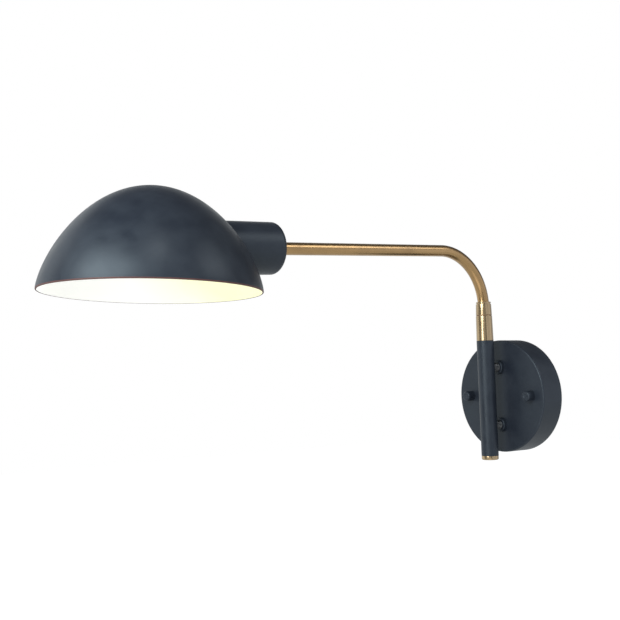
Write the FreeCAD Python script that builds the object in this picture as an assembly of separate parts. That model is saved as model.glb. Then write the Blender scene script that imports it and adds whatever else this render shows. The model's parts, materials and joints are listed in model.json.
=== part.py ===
import FreeCAD, Part
import math
import os

# Swing-arm wall light. Millimetres. X runs right along the wall, +Y runs into the wall, Z runs up.
# The origin is the centre of the round canopy's back, in the wall's surface.

# ---------------------------------------------------------------- driving dimensions
# Canopy and the bar behind it
CANOPY_DIAMETER = 120.0
CANOPY_DEPTH = 28.0
CANOPY_WALL = 1.2
CANOPY_EDGE_ROUND = 1.6
BAR_LENGTH = 102.0
BAR_WIDTH = 20.0
BAR_THICKNESS = 2.0
WALL_SLOT_SPACING = 60.0
WALL_SLOT_WIDTH = 4.5
WALL_SLOT_LENGTH = 10.0
STUD_SPACING = 85.8
STUD_DIAMETER = 4.0
STUD_POINT = 0.5
STUD_NUT_FLATS = 7.0
STUD_NUT_THICKNESS = 3.2
CAP_NUT_DIAMETER = 10.8
CAP_NUT_LENGTH = 9.3
CAP_NUT_ROUND = 1.9
CAP_NUT_CROWN = 2.2
CAP_NUT_FOOT_ROUND = 0.45
STUD_GRIP = 6.0
GROUND_SCREW_X = 14.0
GROUND_SCREW_DIAMETER = 4.0
GROUND_HEAD_DIAMETER = 7.6
GROUND_HEAD_HEIGHT = 2.6
GROUND_HEAD_ROUND = 0.95
GROUND_HEAD_SLOT = 1.0

# Stand-offs between canopy and column
STANDOFF_SPACING = 61.6
STANDOFF_GAP = 10.4
NIPPLE_DIAMETER = 10.0
NIPPLE_BORE = 7.0
NIPPLE_TAIL = 6.5
NIPPLE_REACH = 2.4
FLANGE_DIAMETER = 15.0
FLANGE_THICKNESS = 4.0
FLANGE_ROUND = 1.1
NIPPLE_NUT_FLATS = 14.0
NIPPLE_NUT_THICKNESS = 3.0
NIPPLE_WASHER_DIAMETER = 17.0
NIPPLE_WASHER_THICKNESS = 1.0

# Terminal block and the lead to the lampholder
BLOCK_LENGTH = 24.0
BLOCK_WIDTH = 16.0
BLOCK_HEIGHT = 18.8
BLOCK_OFFSET = 14.0
BLOCK_ROUND = 1.0
BLOCK_POLES = 3
BLOCK_SCREW_DIAMETER = 3.6
BLOCK_SCREW_DEPTH = 5.0
BLOCK_SCREW_HEIGHT = 2.5
BLOCK_SCREW_SLOT = 0.9
BLOCK_SCREW_ROUND = 0.3
LEAD_DIAMETER = 4.0
LEAD_TURN = 6.0

# Column
COLUMN_DIAMETER = 18.0
COLUMN_WALL = 2.0
COLUMN_TOP = 59.6
COLUMN_BOTTOM = -62.5
END_CAP_HEIGHT = 4.3
END_CAP_ROUND = 1.4
END_CAP_DISH = 0.9
END_CAP_DISH_DIAMETER = 10.0
END_CAP_RIM_DIAMETER = 11.2
SPIGOT_LENGTH = 10.0

# Swivel
SLEEVE_HEIGHT = 26.9
SLEEVE_TOP_DIAMETER = 17.2
BEARING_LENGTH = 14.5
PIN_DIAMETER = 8.0
PIN_BORE = 5.2
PIN_HEAD_HEIGHT = 2.0
PIN_TAIL = 2.0
RING_NUT_HEIGHT = 4.0
RING_NUT_SLOT = 1.6
SPRING_WASHER_HEIGHT = 1.2
THRUST_WASHER_HEIGHT = 0.8
NUT_BORE_GAP = 0.3
SKIRT_WALL = 1.05
FRICTION_WASHER_HEIGHT = 0.4
FRICTION_WASHER_DIAMETER = 16.0
COLLAR_HEIGHT = 12.1
COLLAR_BOTTOM_DIAMETER = 17.0
COLLAR_TOP_DIAMETER = 16.2
COLLAR_FLOOR = 4.0
LIP_NECK_DIAMETER = 14.8
LIP_NECK_HEIGHT = 0.5
LIP_DIAMETER = 15.7
LIP_HEIGHT = 1.7
LIP_ROUND = 0.5
STOP_PIN_DIAMETER = 1.8
STOP_PIN_RADIUS_AT = 6.3
STOP_PIN_GRIP = 2.2
STOP_PIN_REACH = 2.4
STOP_GROOVE_DEPTH = 3.0
SWING_LIMIT = 80.0
STOP_SLACK = 1.5

# Arm
ARM_DIAMETER = 12.0
ARM_WALL = 1.0
ARM_HEIGHT = 156.4
ARM_BEND_RADIUS = 57.0
ARM_DROOP = 2.7
ARM_LENGTH = 265.8
ARM_NIPPLE_GRIP = 16.0
ARM_NIPPLE_BORE = 7.0

# Lampholder cup and lampholder
CUP_DIAMETER = 47.8
CUP_WALL = 1.2
CUP_CORNER = 5.4
CUP_REACH = 122.0
CUP_NUT_FLATS = 14.0
CUP_NUT_THICKNESS = 3.0
HOLDER_DIAMETER = 36.0
HOLDER_BASE_HEIGHT = 13.0
HOLDER_WALL = 2.6
HOLDER_FLOOR = 3.5
HOLDER_BODY_HEIGHT = 28.0
HOLDER_WEB = 4.0
HOLDER_ROUND = 1.5
SHELL_WALL = 0.5
SHELL_HEIGHT = 21.0
CONTACT_DIAMETER = 9.0
CONTACT_HEIGHT = 2.4

# Bulb
BULB_CAP_DIAMETER = 26.4
BULB_CAP_HEIGHT = 24.0
BULB_TIP_DIAMETER = 9.0
BULB_TIP_HEIGHT = 3.5
BULB_THREAD_PITCH = 3.6
BULB_THREAD_DEPTH = 0.7
BULB_THREAD_TURNS = 5
BULB_DIAMETER = 45.0
BULB_NECK_DIAMETER = 25.0
BULB_NECK_HEIGHT = 6.0
BULB_GLASS = 1.0

# Shade
SHADE_DIAMETER = 185.6
SHADE_HEIGHT = 88.2
SHADE_WALL = 1.5
SHADE_HANG = 55.8
SHADE_TILT = 1.8
SHADE_FULLNESS = 1.426
SHADE_STATIONS = 12

# Clearances
THREAD_CLEARANCE = 0.05
SLIP_CLEARANCE = 0.05
HOLE_CLEARANCE = 0.3
SWIVEL_PLAY = 0.05
STOP_SIDE_CLEARANCE = 0.3
CONTACT_GAP = 0.1

# ---------------------------------------------------------------- sizes that follow
ORIGIN = FreeCAD.Vector(0, 0, 0)
X_AXIS = FreeCAD.Vector(1, 0, 0)
Z_AXIS = FreeCAD.Vector(0, 0, 1)

CANOPY_RADIUS = CANOPY_DIAMETER / 2
COLUMN_RADIUS = COLUMN_DIAMETER / 2
COLUMN_BORE = COLUMN_RADIUS - COLUMN_WALL
COLUMN_Y = -(CANOPY_DEPTH + STANDOFF_GAP + COLUMN_RADIUS)
CANOPY_INSIDE = CANOPY_DEPTH - CANOPY_WALL
STANDOFF_HEIGHTS = (STANDOFF_SPACING / 2, -STANDOFF_SPACING / 2)
NIPPLE_START = CANOPY_INSIDE - NIPPLE_TAIL
NIPPLE_LENGTH = -COLUMN_Y - COLUMN_BORE + NIPPLE_REACH - NIPPLE_START

SLEEVE_TOP = COLUMN_TOP + SLEEVE_HEIGHT
BEARING_FOOT = SLEEVE_TOP - BEARING_LENGTH
THRUST_WASHER_FOOT = BEARING_FOOT - SWIVEL_PLAY - THRUST_WASHER_HEIGHT
SPRING_WASHER_FOOT = THRUST_WASHER_FOOT - SPRING_WASHER_HEIGHT
RING_NUT_FOOT = SPRING_WASHER_FOOT - RING_NUT_HEIGHT
PIN_FOOT = RING_NUT_FOOT - PIN_TAIL
SKIRT_BORE = COLUMN_BORE - SLIP_CLEARANCE - SKIRT_WALL
WASHER_RADIUS = SKIRT_BORE - NUT_BORE_GAP
FRICTION_WASHER_FOOT = SLEEVE_TOP + SWIVEL_PLAY
COLLAR_FOOT = FRICTION_WASHER_FOOT + FRICTION_WASHER_HEIGHT
SOCKET_FLOOR = COLLAR_FOOT + COLLAR_FLOOR
TUBE_FOOT = SOCKET_FLOOR + PIN_HEAD_HEIGHT

ARM_RADIUS = ARM_DIAMETER / 2
ARM_BORE = ARM_RADIUS - ARM_WALL
BEND_ANGLE = 90 + ARM_DROOP
BEND_TANGENT = ARM_BEND_RADIUS * math.tan(math.radians(BEND_ANGLE / 2))
CUP_FLOOR = ARM_LENGTH + CUP_WALL
SHADE_OUT = ARM_LENGTH + CUP_REACH
SHADE_RIM_HEIGHT = ARM_HEIGHT - SHADE_HANG
HOLDER_START = CUP_FLOOR + CUP_NUT_THICKNESS
BODY_START = HOLDER_START + HOLDER_BASE_HEIGHT
CONTACT_START = BODY_START + HOLDER_WEB
BULB_START = CONTACT_START + CONTACT_HEIGHT + CONTACT_GAP
GLASS_START = BULB_START + BULB_TIP_HEIGHT + BULB_CAP_HEIGHT
SHELL_RADIUS = BULB_CAP_DIAMETER / 2 + HOLE_CLEARANCE + SHELL_WALL
CUP_BORE = CUP_DIAMETER / 2 - CUP_WALL


# ---------------------------------------------------------------- shape helpers
def vector(x, y, z):
    return FreeCAD.Vector(x, y, z)


def outline(corners):
    """Closed wire in the XZ plane through (radius, height, rounding) corners."""
    points = [vector(radius, 0, height) for radius, height, _ in corners]
    ends = []
    for index, (_, _, rounding) in enumerate(corners):
        here = points[index]
        if rounding == 0:
            ends.append((here, None, here))
            continue
        to_last = (points[index - 1] - here).normalize()
        to_next = (points[(index + 1) % len(points)] - here).normalize()
        half = to_last.getAngle(to_next) / 2
        run = rounding / math.tan(half)
        inward = (to_last + to_next).normalize()
        middle = here + inward * (rounding / math.sin(half) - rounding)
        ends.append((here + to_last * run, middle, here + to_next * run))
    edges = []
    for index, (start, middle, end) in enumerate(ends):
        if middle is not None:
            edges.append(Part.Arc(start, middle, end).toShape())
        next_start = ends[(index + 1) % len(ends)][0]
        if (next_start - end).Length > 1e-6:
            edges.append(Part.LineSegment(end, next_start).toShape())
    return Part.Wire(edges)


def turned(corners):
    """Solid of revolution about Z of an outline."""
    return Part.Face(outline(corners)).revolve(ORIGIN, Z_AXIS, 360)


def ring(outer_radius, inner_radius, height, base=0.0):
    """Plain tube or washer about Z."""
    return turned([
        (inner_radius, base, 0),
        (outer_radius, base, 0),
        (outer_radius, base + height, 0),
        (inner_radius, base + height, 0),
    ])


def rod(radius, height, base=0.0):
    return Part.makeCylinder(radius, height, vector(0, 0, base))


def hex_nut(flats, thickness, hole_radius, base=0.0):
    """Hexagon nut about Z, with its corners chamfered on both faces."""
    corner = flats / math.sqrt(3)
    points = [
        vector(corner * math.cos(math.radians(60 * k)), corner * math.sin(math.radians(60 * k)), base)
        for k in range(6)
    ]
    prism = Part.Face(Part.makePolygon(points + points[:1])).extrude(vector(0, 0, thickness))
    bevel = (corner - flats / 2) / 2
    drum = turned([
        (0, base, 0),
        (flats / 2, base, 0),
        (corner, base + bevel, 0),
        (corner, base + thickness - bevel, 0),
        (flats / 2, base + thickness, 0),
        (0, base + thickness, 0),
    ])
    return prism.common(drum).cut(rod(hole_radius, thickness, base))


def out_of_wall(shape, x, depth, z):
    """Turn a piece made along +Z so that it points out of the wall, its base at a depth from the wall."""
    placed = shape.copy()
    placed.rotate(ORIGIN, X_AXIS, 90)
    placed.translate(vector(x, -depth, z))
    return placed


def on_column(shape):
    """Move a piece made about Z onto the column's axis."""
    placed = shape.copy()
    placed.translate(vector(0, COLUMN_Y, 0))
    return placed


def along_arm(shape, distance=0.0):
    """Turn a piece made along +Z into the arm's axis, its base at a distance from the column's axis."""
    placed = shape.copy()
    placed.rotate(ORIGIN, X_AXIS, BEND_ANGLE)
    placed.translate(arm_point(distance))
    return placed


def arm_point(distance):
    droop = math.radians(ARM_DROOP)
    return vector(0, COLUMN_Y - distance * math.cos(droop), ARM_HEIGHT - distance * math.sin(droop))


def quarter_turn(start, corner, end):
    """Arc that is tangent to start-corner and corner-end, which are equally long."""
    chord_middle = (start + end) * 0.5
    half = (start - corner).getAngle(end - corner) / 2
    radius = (start - corner).Length * math.tan(half)
    inward = (chord_middle - corner).normalize()
    middle = corner + inward * (radius / math.sin(half) - radius)
    return Part.Arc(start, middle, end).toShape()


def swept(path_edges, radius, direction):
    """Round bar of one radius along a path of tangent edges."""
    path = Part.Wire(path_edges)
    start = path_edges[0].Vertexes[0].Point
    section = Part.Wire(Part.Circle(start, direction, radius).toShape())
    return path.makePipeShell([section], True, False)


# ---------------------------------------------------------------- wall side
def mounting_bar():
    bar = Part.makeBox(
        BAR_LENGTH, BAR_THICKNESS, BAR_WIDTH,
        vector(-BAR_LENGTH / 2, -BAR_THICKNESS, -BAR_WIDTH / 2),
    )
    upright = [edge for edge in bar.Edges if abs(edge.Length - BAR_THICKNESS) < 1e-6]
    bar = bar.makeFillet(BAR_WIDTH / 4, upright)
    slot_run = WALL_SLOT_LENGTH - WALL_SLOT_WIDTH
    for side in (-1, 1):
        middle = side * WALL_SLOT_SPACING / 2
        web = Part.makeBox(
            slot_run, BAR_THICKNESS, WALL_SLOT_WIDTH,
            vector(middle - slot_run / 2, -BAR_THICKNESS, -WALL_SLOT_WIDTH / 2),
        )
        bar = bar.cut(web)
        for end in (-1, 1):
            round_end = rod(WALL_SLOT_WIDTH / 2, BAR_THICKNESS)
            bar = bar.cut(out_of_wall(round_end, middle + end * slot_run / 2, 0, 0))
        stud_hole = rod(STUD_DIAMETER / 2 + THREAD_CLEARANCE, BAR_THICKNESS)
        bar = bar.cut(out_of_wall(stud_hole, side * STUD_SPACING / 2, 0, 0))
    ground_hole = rod(GROUND_SCREW_DIAMETER / 2 + THREAD_CLEARANCE, BAR_THICKNESS)
    return bar.cut(out_of_wall(ground_hole, GROUND_SCREW_X, 0, 0))


def each_stud(shape, depth):
    return [out_of_wall(shape, side * STUD_SPACING / 2, depth, 0) for side in (-1, 1)]


def mounting_studs():
    stud = turned([
        (0, 0, 0),
        (STUD_DIAMETER / 2, 0, 0),
        (STUD_DIAMETER / 2, CANOPY_DEPTH + STUD_GRIP - STUD_POINT, 0),
        (STUD_DIAMETER / 2 - STUD_POINT, CANOPY_DEPTH + STUD_GRIP, 0),
        (0, CANOPY_DEPTH + STUD_GRIP, 0),
    ])
    return Part.makeCompound(each_stud(stud, 0))


def stud_locknuts():
    nut = hex_nut(STUD_NUT_FLATS, STUD_NUT_THICKNESS, STUD_DIAMETER / 2 + THREAD_CLEARANCE)
    return Part.makeCompound(each_stud(nut, BAR_THICKNESS))


def ground_screw():
    radius = GROUND_SCREW_DIAMETER / 2
    head = GROUND_HEAD_DIAMETER / 2
    screw = turned([
        (0, 0, 0),
        (radius, 0, 0),
        (radius, BAR_THICKNESS, 0),
        (head, BAR_THICKNESS, 0),
        (head, BAR_THICKNESS + GROUND_HEAD_HEIGHT, GROUND_HEAD_ROUND),
        (0, BAR_THICKNESS + GROUND_HEAD_HEIGHT, 0),
    ])
    slot = Part.makeBox(
        GROUND_HEAD_DIAMETER, GROUND_HEAD_SLOT, GROUND_HEAD_HEIGHT / 2,
        vector(-head, -GROUND_HEAD_SLOT / 2, BAR_THICKNESS + GROUND_HEAD_HEIGHT / 2),
    )
    return out_of_wall(screw.cut(slot), GROUND_SCREW_X, 0, 0)


def wall_canopy():
    inner = CANOPY_RADIUS - CANOPY_WALL
    inner_round = max(CANOPY_EDGE_ROUND - CANOPY_WALL, CANOPY_WALL / 4)
    dish = turned([
        (inner, 0, 0),
        (CANOPY_RADIUS, 0, 0),
        (CANOPY_RADIUS, CANOPY_DEPTH, CANOPY_EDGE_ROUND),
        (0, CANOPY_DEPTH, 0),
        (0, CANOPY_INSIDE, 0),
        (inner, CANOPY_INSIDE, inner_round),
    ])
    dish = out_of_wall(dish, 0, 0, 0)
    for hole in each_stud(rod(STUD_DIAMETER / 2 + HOLE_CLEARANCE, CANOPY_WALL), CANOPY_INSIDE):
        dish = dish.cut(hole)
    for height in STANDOFF_HEIGHTS:
        hole = rod(NIPPLE_DIAMETER / 2 + THREAD_CLEARANCE, CANOPY_WALL)
        dish = dish.cut(out_of_wall(hole, 0, CANOPY_INSIDE, height))
    return dish


def canopy_cap_nuts():
    radius = CAP_NUT_DIAMETER / 2
    bore = STUD_DIAMETER / 2 + THREAD_CLEARANCE
    crown = turned([
        (bore, 0, 0),
        (radius, 0, CAP_NUT_FOOT_ROUND),
        (radius, CAP_NUT_LENGTH, CAP_NUT_ROUND),
        (0, CAP_NUT_LENGTH, 0),
        (0, CAP_NUT_LENGTH - CAP_NUT_CROWN, 0),
        (bore, CAP_NUT_LENGTH - CAP_NUT_CROWN, 0),
    ])
    return Part.makeCompound(each_stud(crown, CANOPY_DEPTH))


# ---------------------------------------------------------------- stand-offs
def each_standoff(shape, depth):
    return [out_of_wall(shape, 0, depth, height) for height in STANDOFF_HEIGHTS]


def standoff_nipples():
    tube = ring(NIPPLE_DIAMETER / 2, NIPPLE_BORE / 2, NIPPLE_LENGTH)
    return Part.makeCompound(each_standoff(tube, NIPPLE_START))


def standoff_flanges():
    flange = turned([
        (NIPPLE_DIAMETER / 2 + THREAD_CLEARANCE, 0, 0),
        (FLANGE_DIAMETER / 2, 0, 0),
        (FLANGE_DIAMETER / 2, FLANGE_THICKNESS, FLANGE_ROUND),
        (NIPPLE_DIAMETER / 2 + THREAD_CLEARANCE, FLANGE_THICKNESS, 0),
    ])
    return Part.makeCompound(each_standoff(flange, CANOPY_DEPTH))


def nipple_washers():
    washer = ring(
        NIPPLE_WASHER_DIAMETER / 2, NIPPLE_DIAMETER / 2 + THREAD_CLEARANCE, NIPPLE_WASHER_THICKNESS
    )
    return Part.makeCompound(each_standoff(washer, CANOPY_INSIDE - NIPPLE_WASHER_THICKNESS))


def nipple_locknuts():
    nut = hex_nut(NIPPLE_NUT_FLATS, NIPPLE_NUT_THICKNESS, NIPPLE_DIAMETER / 2 + THREAD_CLEARANCE)
    depth = CANOPY_INSIDE - NIPPLE_WASHER_THICKNESS - NIPPLE_NUT_THICKNESS
    return Part.makeCompound(each_standoff(nut, depth))


# ---------------------------------------------------------------- wiring
def block_screw_places():
    pitch = BLOCK_WIDTH / BLOCK_POLES
    first = STANDOFF_HEIGHTS[0] - pitch * (BLOCK_POLES - 1) / 2
    middle = -(BLOCK_OFFSET + BLOCK_LENGTH / 2)
    return [
        (middle + side * BLOCK_LENGTH / 4, first + pole * pitch)
        for pole in range(BLOCK_POLES) for side in (-1, 1)
    ]


def terminal_block():
    block = Part.makeBox(
        BLOCK_LENGTH, BLOCK_HEIGHT, BLOCK_WIDTH,
        vector(-BLOCK_OFFSET - BLOCK_LENGTH, -CANOPY_INSIDE, STANDOFF_HEIGHTS[0] - BLOCK_WIDTH / 2),
    )
    rear = -CANOPY_INSIDE + BLOCK_HEIGHT
    rear_edges = [
        edge for edge in block.Edges
        if all(abs(corner.Point.y - rear) < 1e-6 for corner in edge.Vertexes)
    ]
    block = block.makeFillet(BLOCK_ROUND, rear_edges)
    well = rod(BLOCK_SCREW_DIAMETER / 2, BLOCK_SCREW_DEPTH)
    for x, z in block_screw_places():
        block = block.cut(out_of_wall(well, x, CANOPY_INSIDE - BLOCK_HEIGHT, z))
    return block


def terminal_screws():
    radius = BLOCK_SCREW_DIAMETER / 2 - SLIP_CLEARANCE
    screw = turned([
        (0, 0, 0),
        (radius, 0, BLOCK_SCREW_ROUND),
        (radius, BLOCK_SCREW_HEIGHT, 0),
        (0, BLOCK_SCREW_HEIGHT, 0),
    ])
    slot = Part.makeBox(
        2 * radius, BLOCK_SCREW_SLOT, BLOCK_SCREW_SLOT, vector(-radius, -BLOCK_SCREW_SLOT / 2, 0)
    )
    depth = CANOPY_INSIDE - BLOCK_HEIGHT + BLOCK_SCREW_DEPTH - BLOCK_SCREW_HEIGHT
    return Part.makeCompound([
        out_of_wall(screw.cut(slot), x, depth, z) for x, z in block_screw_places()
    ])


def column_lead():
    """Lead from the terminal block, through the upper nipple, up the column to the foot of the swivel."""
    height = STANDOFF_HEIGHTS[0]
    depth = NIPPLE_START - LEAD_TURN - LEAD_DIAMETER / 2
    block_end = vector(-BLOCK_OFFSET, -depth, height)
    first_corner = vector(0, -depth, height)
    second_corner = vector(0, COLUMN_Y, height)
    top = vector(0, COLUMN_Y, PIN_FOOT)
    turn_in = first_corner - vector(LEAD_TURN, 0, 0)
    turn_out = first_corner - vector(0, LEAD_TURN, 0)
    rise_in = second_corner + vector(0, LEAD_TURN, 0)
    rise_out = second_corner + vector(0, 0, LEAD_TURN)
    edges = [
        Part.LineSegment(block_end, turn_in).toShape(),
        quarter_turn(turn_in, first_corner, turn_out),
        Part.LineSegment(turn_out, rise_in).toShape(),
        quarter_turn(rise_in, second_corner, rise_out),
        Part.LineSegment(rise_out, top).toShape(),
    ]
    return swept(edges, LEAD_DIAMETER / 2, X_AXIS)


# ---------------------------------------------------------------- column
def column_tube():
    tube = ring(COLUMN_RADIUS, COLUMN_BORE, COLUMN_TOP - COLUMN_BOTTOM, COLUMN_BOTTOM)
    tube = on_column(tube)
    for height in STANDOFF_HEIGHTS:
        hole = rod(NIPPLE_DIAMETER / 2 + THREAD_CLEARANCE, COLUMN_RADIUS)
        tube = tube.cut(out_of_wall(hole, 0, -COLUMN_Y - COLUMN_RADIUS, height))
    return tube


def column_end_cap():
    foot = COLUMN_BOTTOM - END_CAP_HEIGHT
    spigot = COLUMN_BORE - SLIP_CLEARANCE
    return on_column(turned([
        (0, foot + END_CAP_DISH, 0),
        (END_CAP_DISH_DIAMETER / 2, foot + END_CAP_DISH, 0),
        (END_CAP_RIM_DIAMETER / 2, foot, 0),
        (COLUMN_RADIUS, foot, END_CAP_ROUND),
        (COLUMN_RADIUS, COLUMN_BOTTOM, 0),
        (spigot, COLUMN_BOTTOM, 0),
        (spigot, COLUMN_BOTTOM + SPIGOT_LENGTH, 0),
        (0, COLUMN_BOTTOM + SPIGOT_LENGTH, 0),
    ]))


# ---------------------------------------------------------------- swivel
def stop_groove():
    """Arc groove in the sleeve's top face in which the stop pin runs."""
    half_width = STOP_PIN_DIAMETER / 2 + STOP_SIDE_CLEARANCE
    groove = ring(
        STOP_PIN_RADIUS_AT + half_width, STOP_PIN_RADIUS_AT - half_width,
        STOP_GROOVE_DEPTH, SLEEVE_TOP - STOP_GROOVE_DEPTH,
    )
    pin_half_angle = math.degrees(math.asin(STOP_PIN_DIAMETER / 2 / STOP_PIN_RADIUS_AT))
    sweep = 2 * (SWING_LIMIT + pin_half_angle + STOP_SLACK)
    sector = Part.makeCylinder(
        STOP_PIN_RADIUS_AT + COLUMN_RADIUS, STOP_GROOVE_DEPTH,
        vector(0, 0, SLEEVE_TOP - STOP_GROOVE_DEPTH), Z_AXIS, sweep,
    )
    sector.rotate(ORIGIN, Z_AXIS, -90 - sweep / 2)
    return groove.common(sector)


def swivel_sleeve():
    spigot = COLUMN_BORE - SLIP_CLEARANCE
    body = turned([
        (SKIRT_BORE, COLUMN_TOP - SPIGOT_LENGTH, 0),
        (spigot, COLUMN_TOP - SPIGOT_LENGTH, 0),
        (spigot, COLUMN_TOP, 0),
        (COLUMN_RADIUS, COLUMN_TOP, 0),
        (SLEEVE_TOP_DIAMETER / 2, SLEEVE_TOP, 0),
        (PIN_DIAMETER / 2 + SLIP_CLEARANCE, SLEEVE_TOP, 0),
        (PIN_DIAMETER / 2 + SLIP_CLEARANCE, BEARING_FOOT, 0),
        (SKIRT_BORE, BEARING_FOOT, 0),
    ])
    return on_column(body.cut(stop_groove()))


def stop_pin_place(shape):
    placed = shape.copy()
    placed.translate(vector(0, -STOP_PIN_RADIUS_AT, 0))
    return placed


def stop_pin():
    foot = SLEEVE_TOP - STOP_PIN_REACH
    pin = rod(STOP_PIN_DIAMETER / 2, COLLAR_FOOT + STOP_PIN_GRIP - foot, foot)
    return on_column(stop_pin_place(pin))


def friction_washer():
    washer = ring(
        FRICTION_WASHER_DIAMETER / 2, PIN_DIAMETER / 2 + SLIP_CLEARANCE,
        FRICTION_WASHER_HEIGHT, FRICTION_WASHER_FOOT,
    )
    hole = rod(STOP_PIN_DIAMETER / 2 + SLIP_CLEARANCE, FRICTION_WASHER_HEIGHT, FRICTION_WASHER_FOOT)
    return on_column(washer.cut(stop_pin_place(hole)))


def swivel_collar():
    shoulder = COLLAR_FOOT + COLLAR_HEIGHT
    lip_foot = shoulder + LIP_NECK_HEIGHT
    socket = ARM_RADIUS + SLIP_CLEARANCE
    mouth = ARM_RADIUS + HOLE_CLEARANCE
    body = turned([
        (PIN_DIAMETER / 2 + SLIP_CLEARANCE, COLLAR_FOOT, 0),
        (COLLAR_BOTTOM_DIAMETER / 2, COLLAR_FOOT, 0),
        (COLLAR_TOP_DIAMETER / 2, shoulder, 0),
        (LIP_NECK_DIAMETER / 2, shoulder, 0),
        (LIP_NECK_DIAMETER / 2, lip_foot, 0),
        (LIP_DIAMETER / 2, lip_foot, 0),
        (LIP_DIAMETER / 2, lip_foot + LIP_HEIGHT, LIP_ROUND),
        (mouth, lip_foot + LIP_HEIGHT, 0),
        (mouth, shoulder - LIP_HEIGHT, 0),
        (socket, shoulder - LIP_HEIGHT, 0),
        (socket, SOCKET_FLOOR, 0),
        (PIN_DIAMETER / 2 + SLIP_CLEARANCE, SOCKET_FLOOR, 0),
    ])
    hole = rod(STOP_PIN_DIAMETER / 2 + SLIP_CLEARANCE, STOP_PIN_GRIP, COLLAR_FOOT)
    return on_column(body.cut(stop_pin_place(hole)))


def swivel_pin():
    shank = PIN_DIAMETER / 2
    return on_column(turned([
        (PIN_BORE / 2, PIN_FOOT, 0),
        (shank, PIN_FOOT, 0),
        (shank, SOCKET_FLOOR, 0),
        (ARM_RADIUS, SOCKET_FLOOR, 0),
        (ARM_RADIUS, TUBE_FOOT, 0),
        (PIN_BORE / 2, TUBE_FOOT, 0),
    ]))


def thrust_washer():
    return on_column(ring(
        WASHER_RADIUS, PIN_DIAMETER / 2 + SLIP_CLEARANCE, THRUST_WASHER_HEIGHT, THRUST_WASHER_FOOT
    ))


def spring_washer():
    """Split ring, flattened by the nut."""
    washer = ring(
        WASHER_RADIUS, PIN_DIAMETER / 2 + SLIP_CLEARANCE, SPRING_WASHER_HEIGHT, SPRING_WASHER_FOOT
    )
    gap = Part.makeBox(
        SPRING_WASHER_HEIGHT / 2, WASHER_RADIUS, SPRING_WASHER_HEIGHT,
        vector(-SPRING_WASHER_HEIGHT / 4, 0, SPRING_WASHER_FOOT),
    )
    return on_column(washer.cut(gap))


def swivel_ring_nut():
    nut = ring(WASHER_RADIUS, PIN_DIAMETER / 2 + THREAD_CLEARANCE, RING_NUT_HEIGHT, RING_NUT_FOOT)
    slot = Part.makeBox(
        2 * WASHER_RADIUS, RING_NUT_SLOT, RING_NUT_SLOT,
        vector(-WASHER_RADIUS, -RING_NUT_SLOT / 2, RING_NUT_FOOT),
    )
    return on_column(nut.cut(slot))


# ---------------------------------------------------------------- arm
def arm_path(foot, reach):
    """Up the column's axis, round the bend and out along the arm to a distance from the column's axis."""
    corner = arm_point(0)
    bend_start = vector(0, COLUMN_Y, ARM_HEIGHT - BEND_TANGENT)
    bend_end = arm_point(BEND_TANGENT)
    return [
        Part.LineSegment(vector(0, COLUMN_Y, foot), bend_start).toShape(),
        quarter_turn(bend_start, corner, bend_end),
        Part.LineSegment(bend_end, arm_point(reach)).toShape(),
    ]


def arm_tube():
    path = arm_path(TUBE_FOOT, ARM_LENGTH)
    return swept(path, ARM_RADIUS, Z_AXIS).cut(swept(path, ARM_BORE, Z_AXIS))


def arm_lead():
    """Lead from the foot of the swivel, through pin, arm and nipple, to the lampholder's chamber."""
    reach = HOLDER_START + HOLDER_BASE_HEIGHT
    return swept(arm_path(PIN_FOOT, reach), LEAD_DIAMETER / 2, Z_AXIS)


def arm_nipple():
    length = ARM_NIPPLE_GRIP + CUP_WALL + CUP_NUT_THICKNESS + HOLDER_FLOOR
    nipple = ring(ARM_BORE - THREAD_CLEARANCE, ARM_NIPPLE_BORE / 2, length)
    return along_arm(nipple, ARM_LENGTH - ARM_NIPPLE_GRIP)


# ---------------------------------------------------------------- shade
def shade_curve(offset):
    """Half profile from rim to crown, set in from the outer surface by an offset along its normal."""
    radius = SHADE_DIAMETER / 2

    def station(turn):
        return vector(
            radius * math.cos(turn), 0, SHADE_HEIGHT * math.sin(turn) ** (2 / SHADE_FULLNESS)
        )

    nudge = 1e-4
    points = []
    for index in range(SHADE_STATIONS + 1):
        turn = math.pi / 2 * index / SHADE_STATIONS
        low = station(max(turn - nudge, 0))
        high = station(min(turn + nudge, math.pi / 2))
        tangent = (high - low).normalize()
        points.append(station(turn) + vector(-tangent.z, 0, tangent.x) * offset)
    points[0] = vector(radius - offset, 0, 0)
    points[-1] = vector(0, 0, SHADE_HEIGHT - offset)
    curve = Part.BSplineCurve()
    curve.interpolate(Points=points, InitialTangent=Z_AXIS, FinalTangent=-X_AXIS, Scale=False)
    return curve.toShape(), points[0], points[-1]


def place_shade(shape):
    placed = shape.copy()
    placed.rotate(ORIGIN, X_AXIS, -SHADE_TILT)
    placed.translate(vector(0, COLUMN_Y - SHADE_OUT, SHADE_RIM_HEIGHT))
    return placed


def shade_blank():
    """The dome's outer form as one solid block."""
    curve, rim, crown = shade_curve(0)
    edges = [
        curve,
        Part.LineSegment(crown, ORIGIN).toShape(),
        Part.LineSegment(ORIGIN, rim).toShape(),
    ]
    return place_shade(Part.Face(Part.Wire(edges)).revolve(ORIGIN, Z_AXIS, 360))


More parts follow.
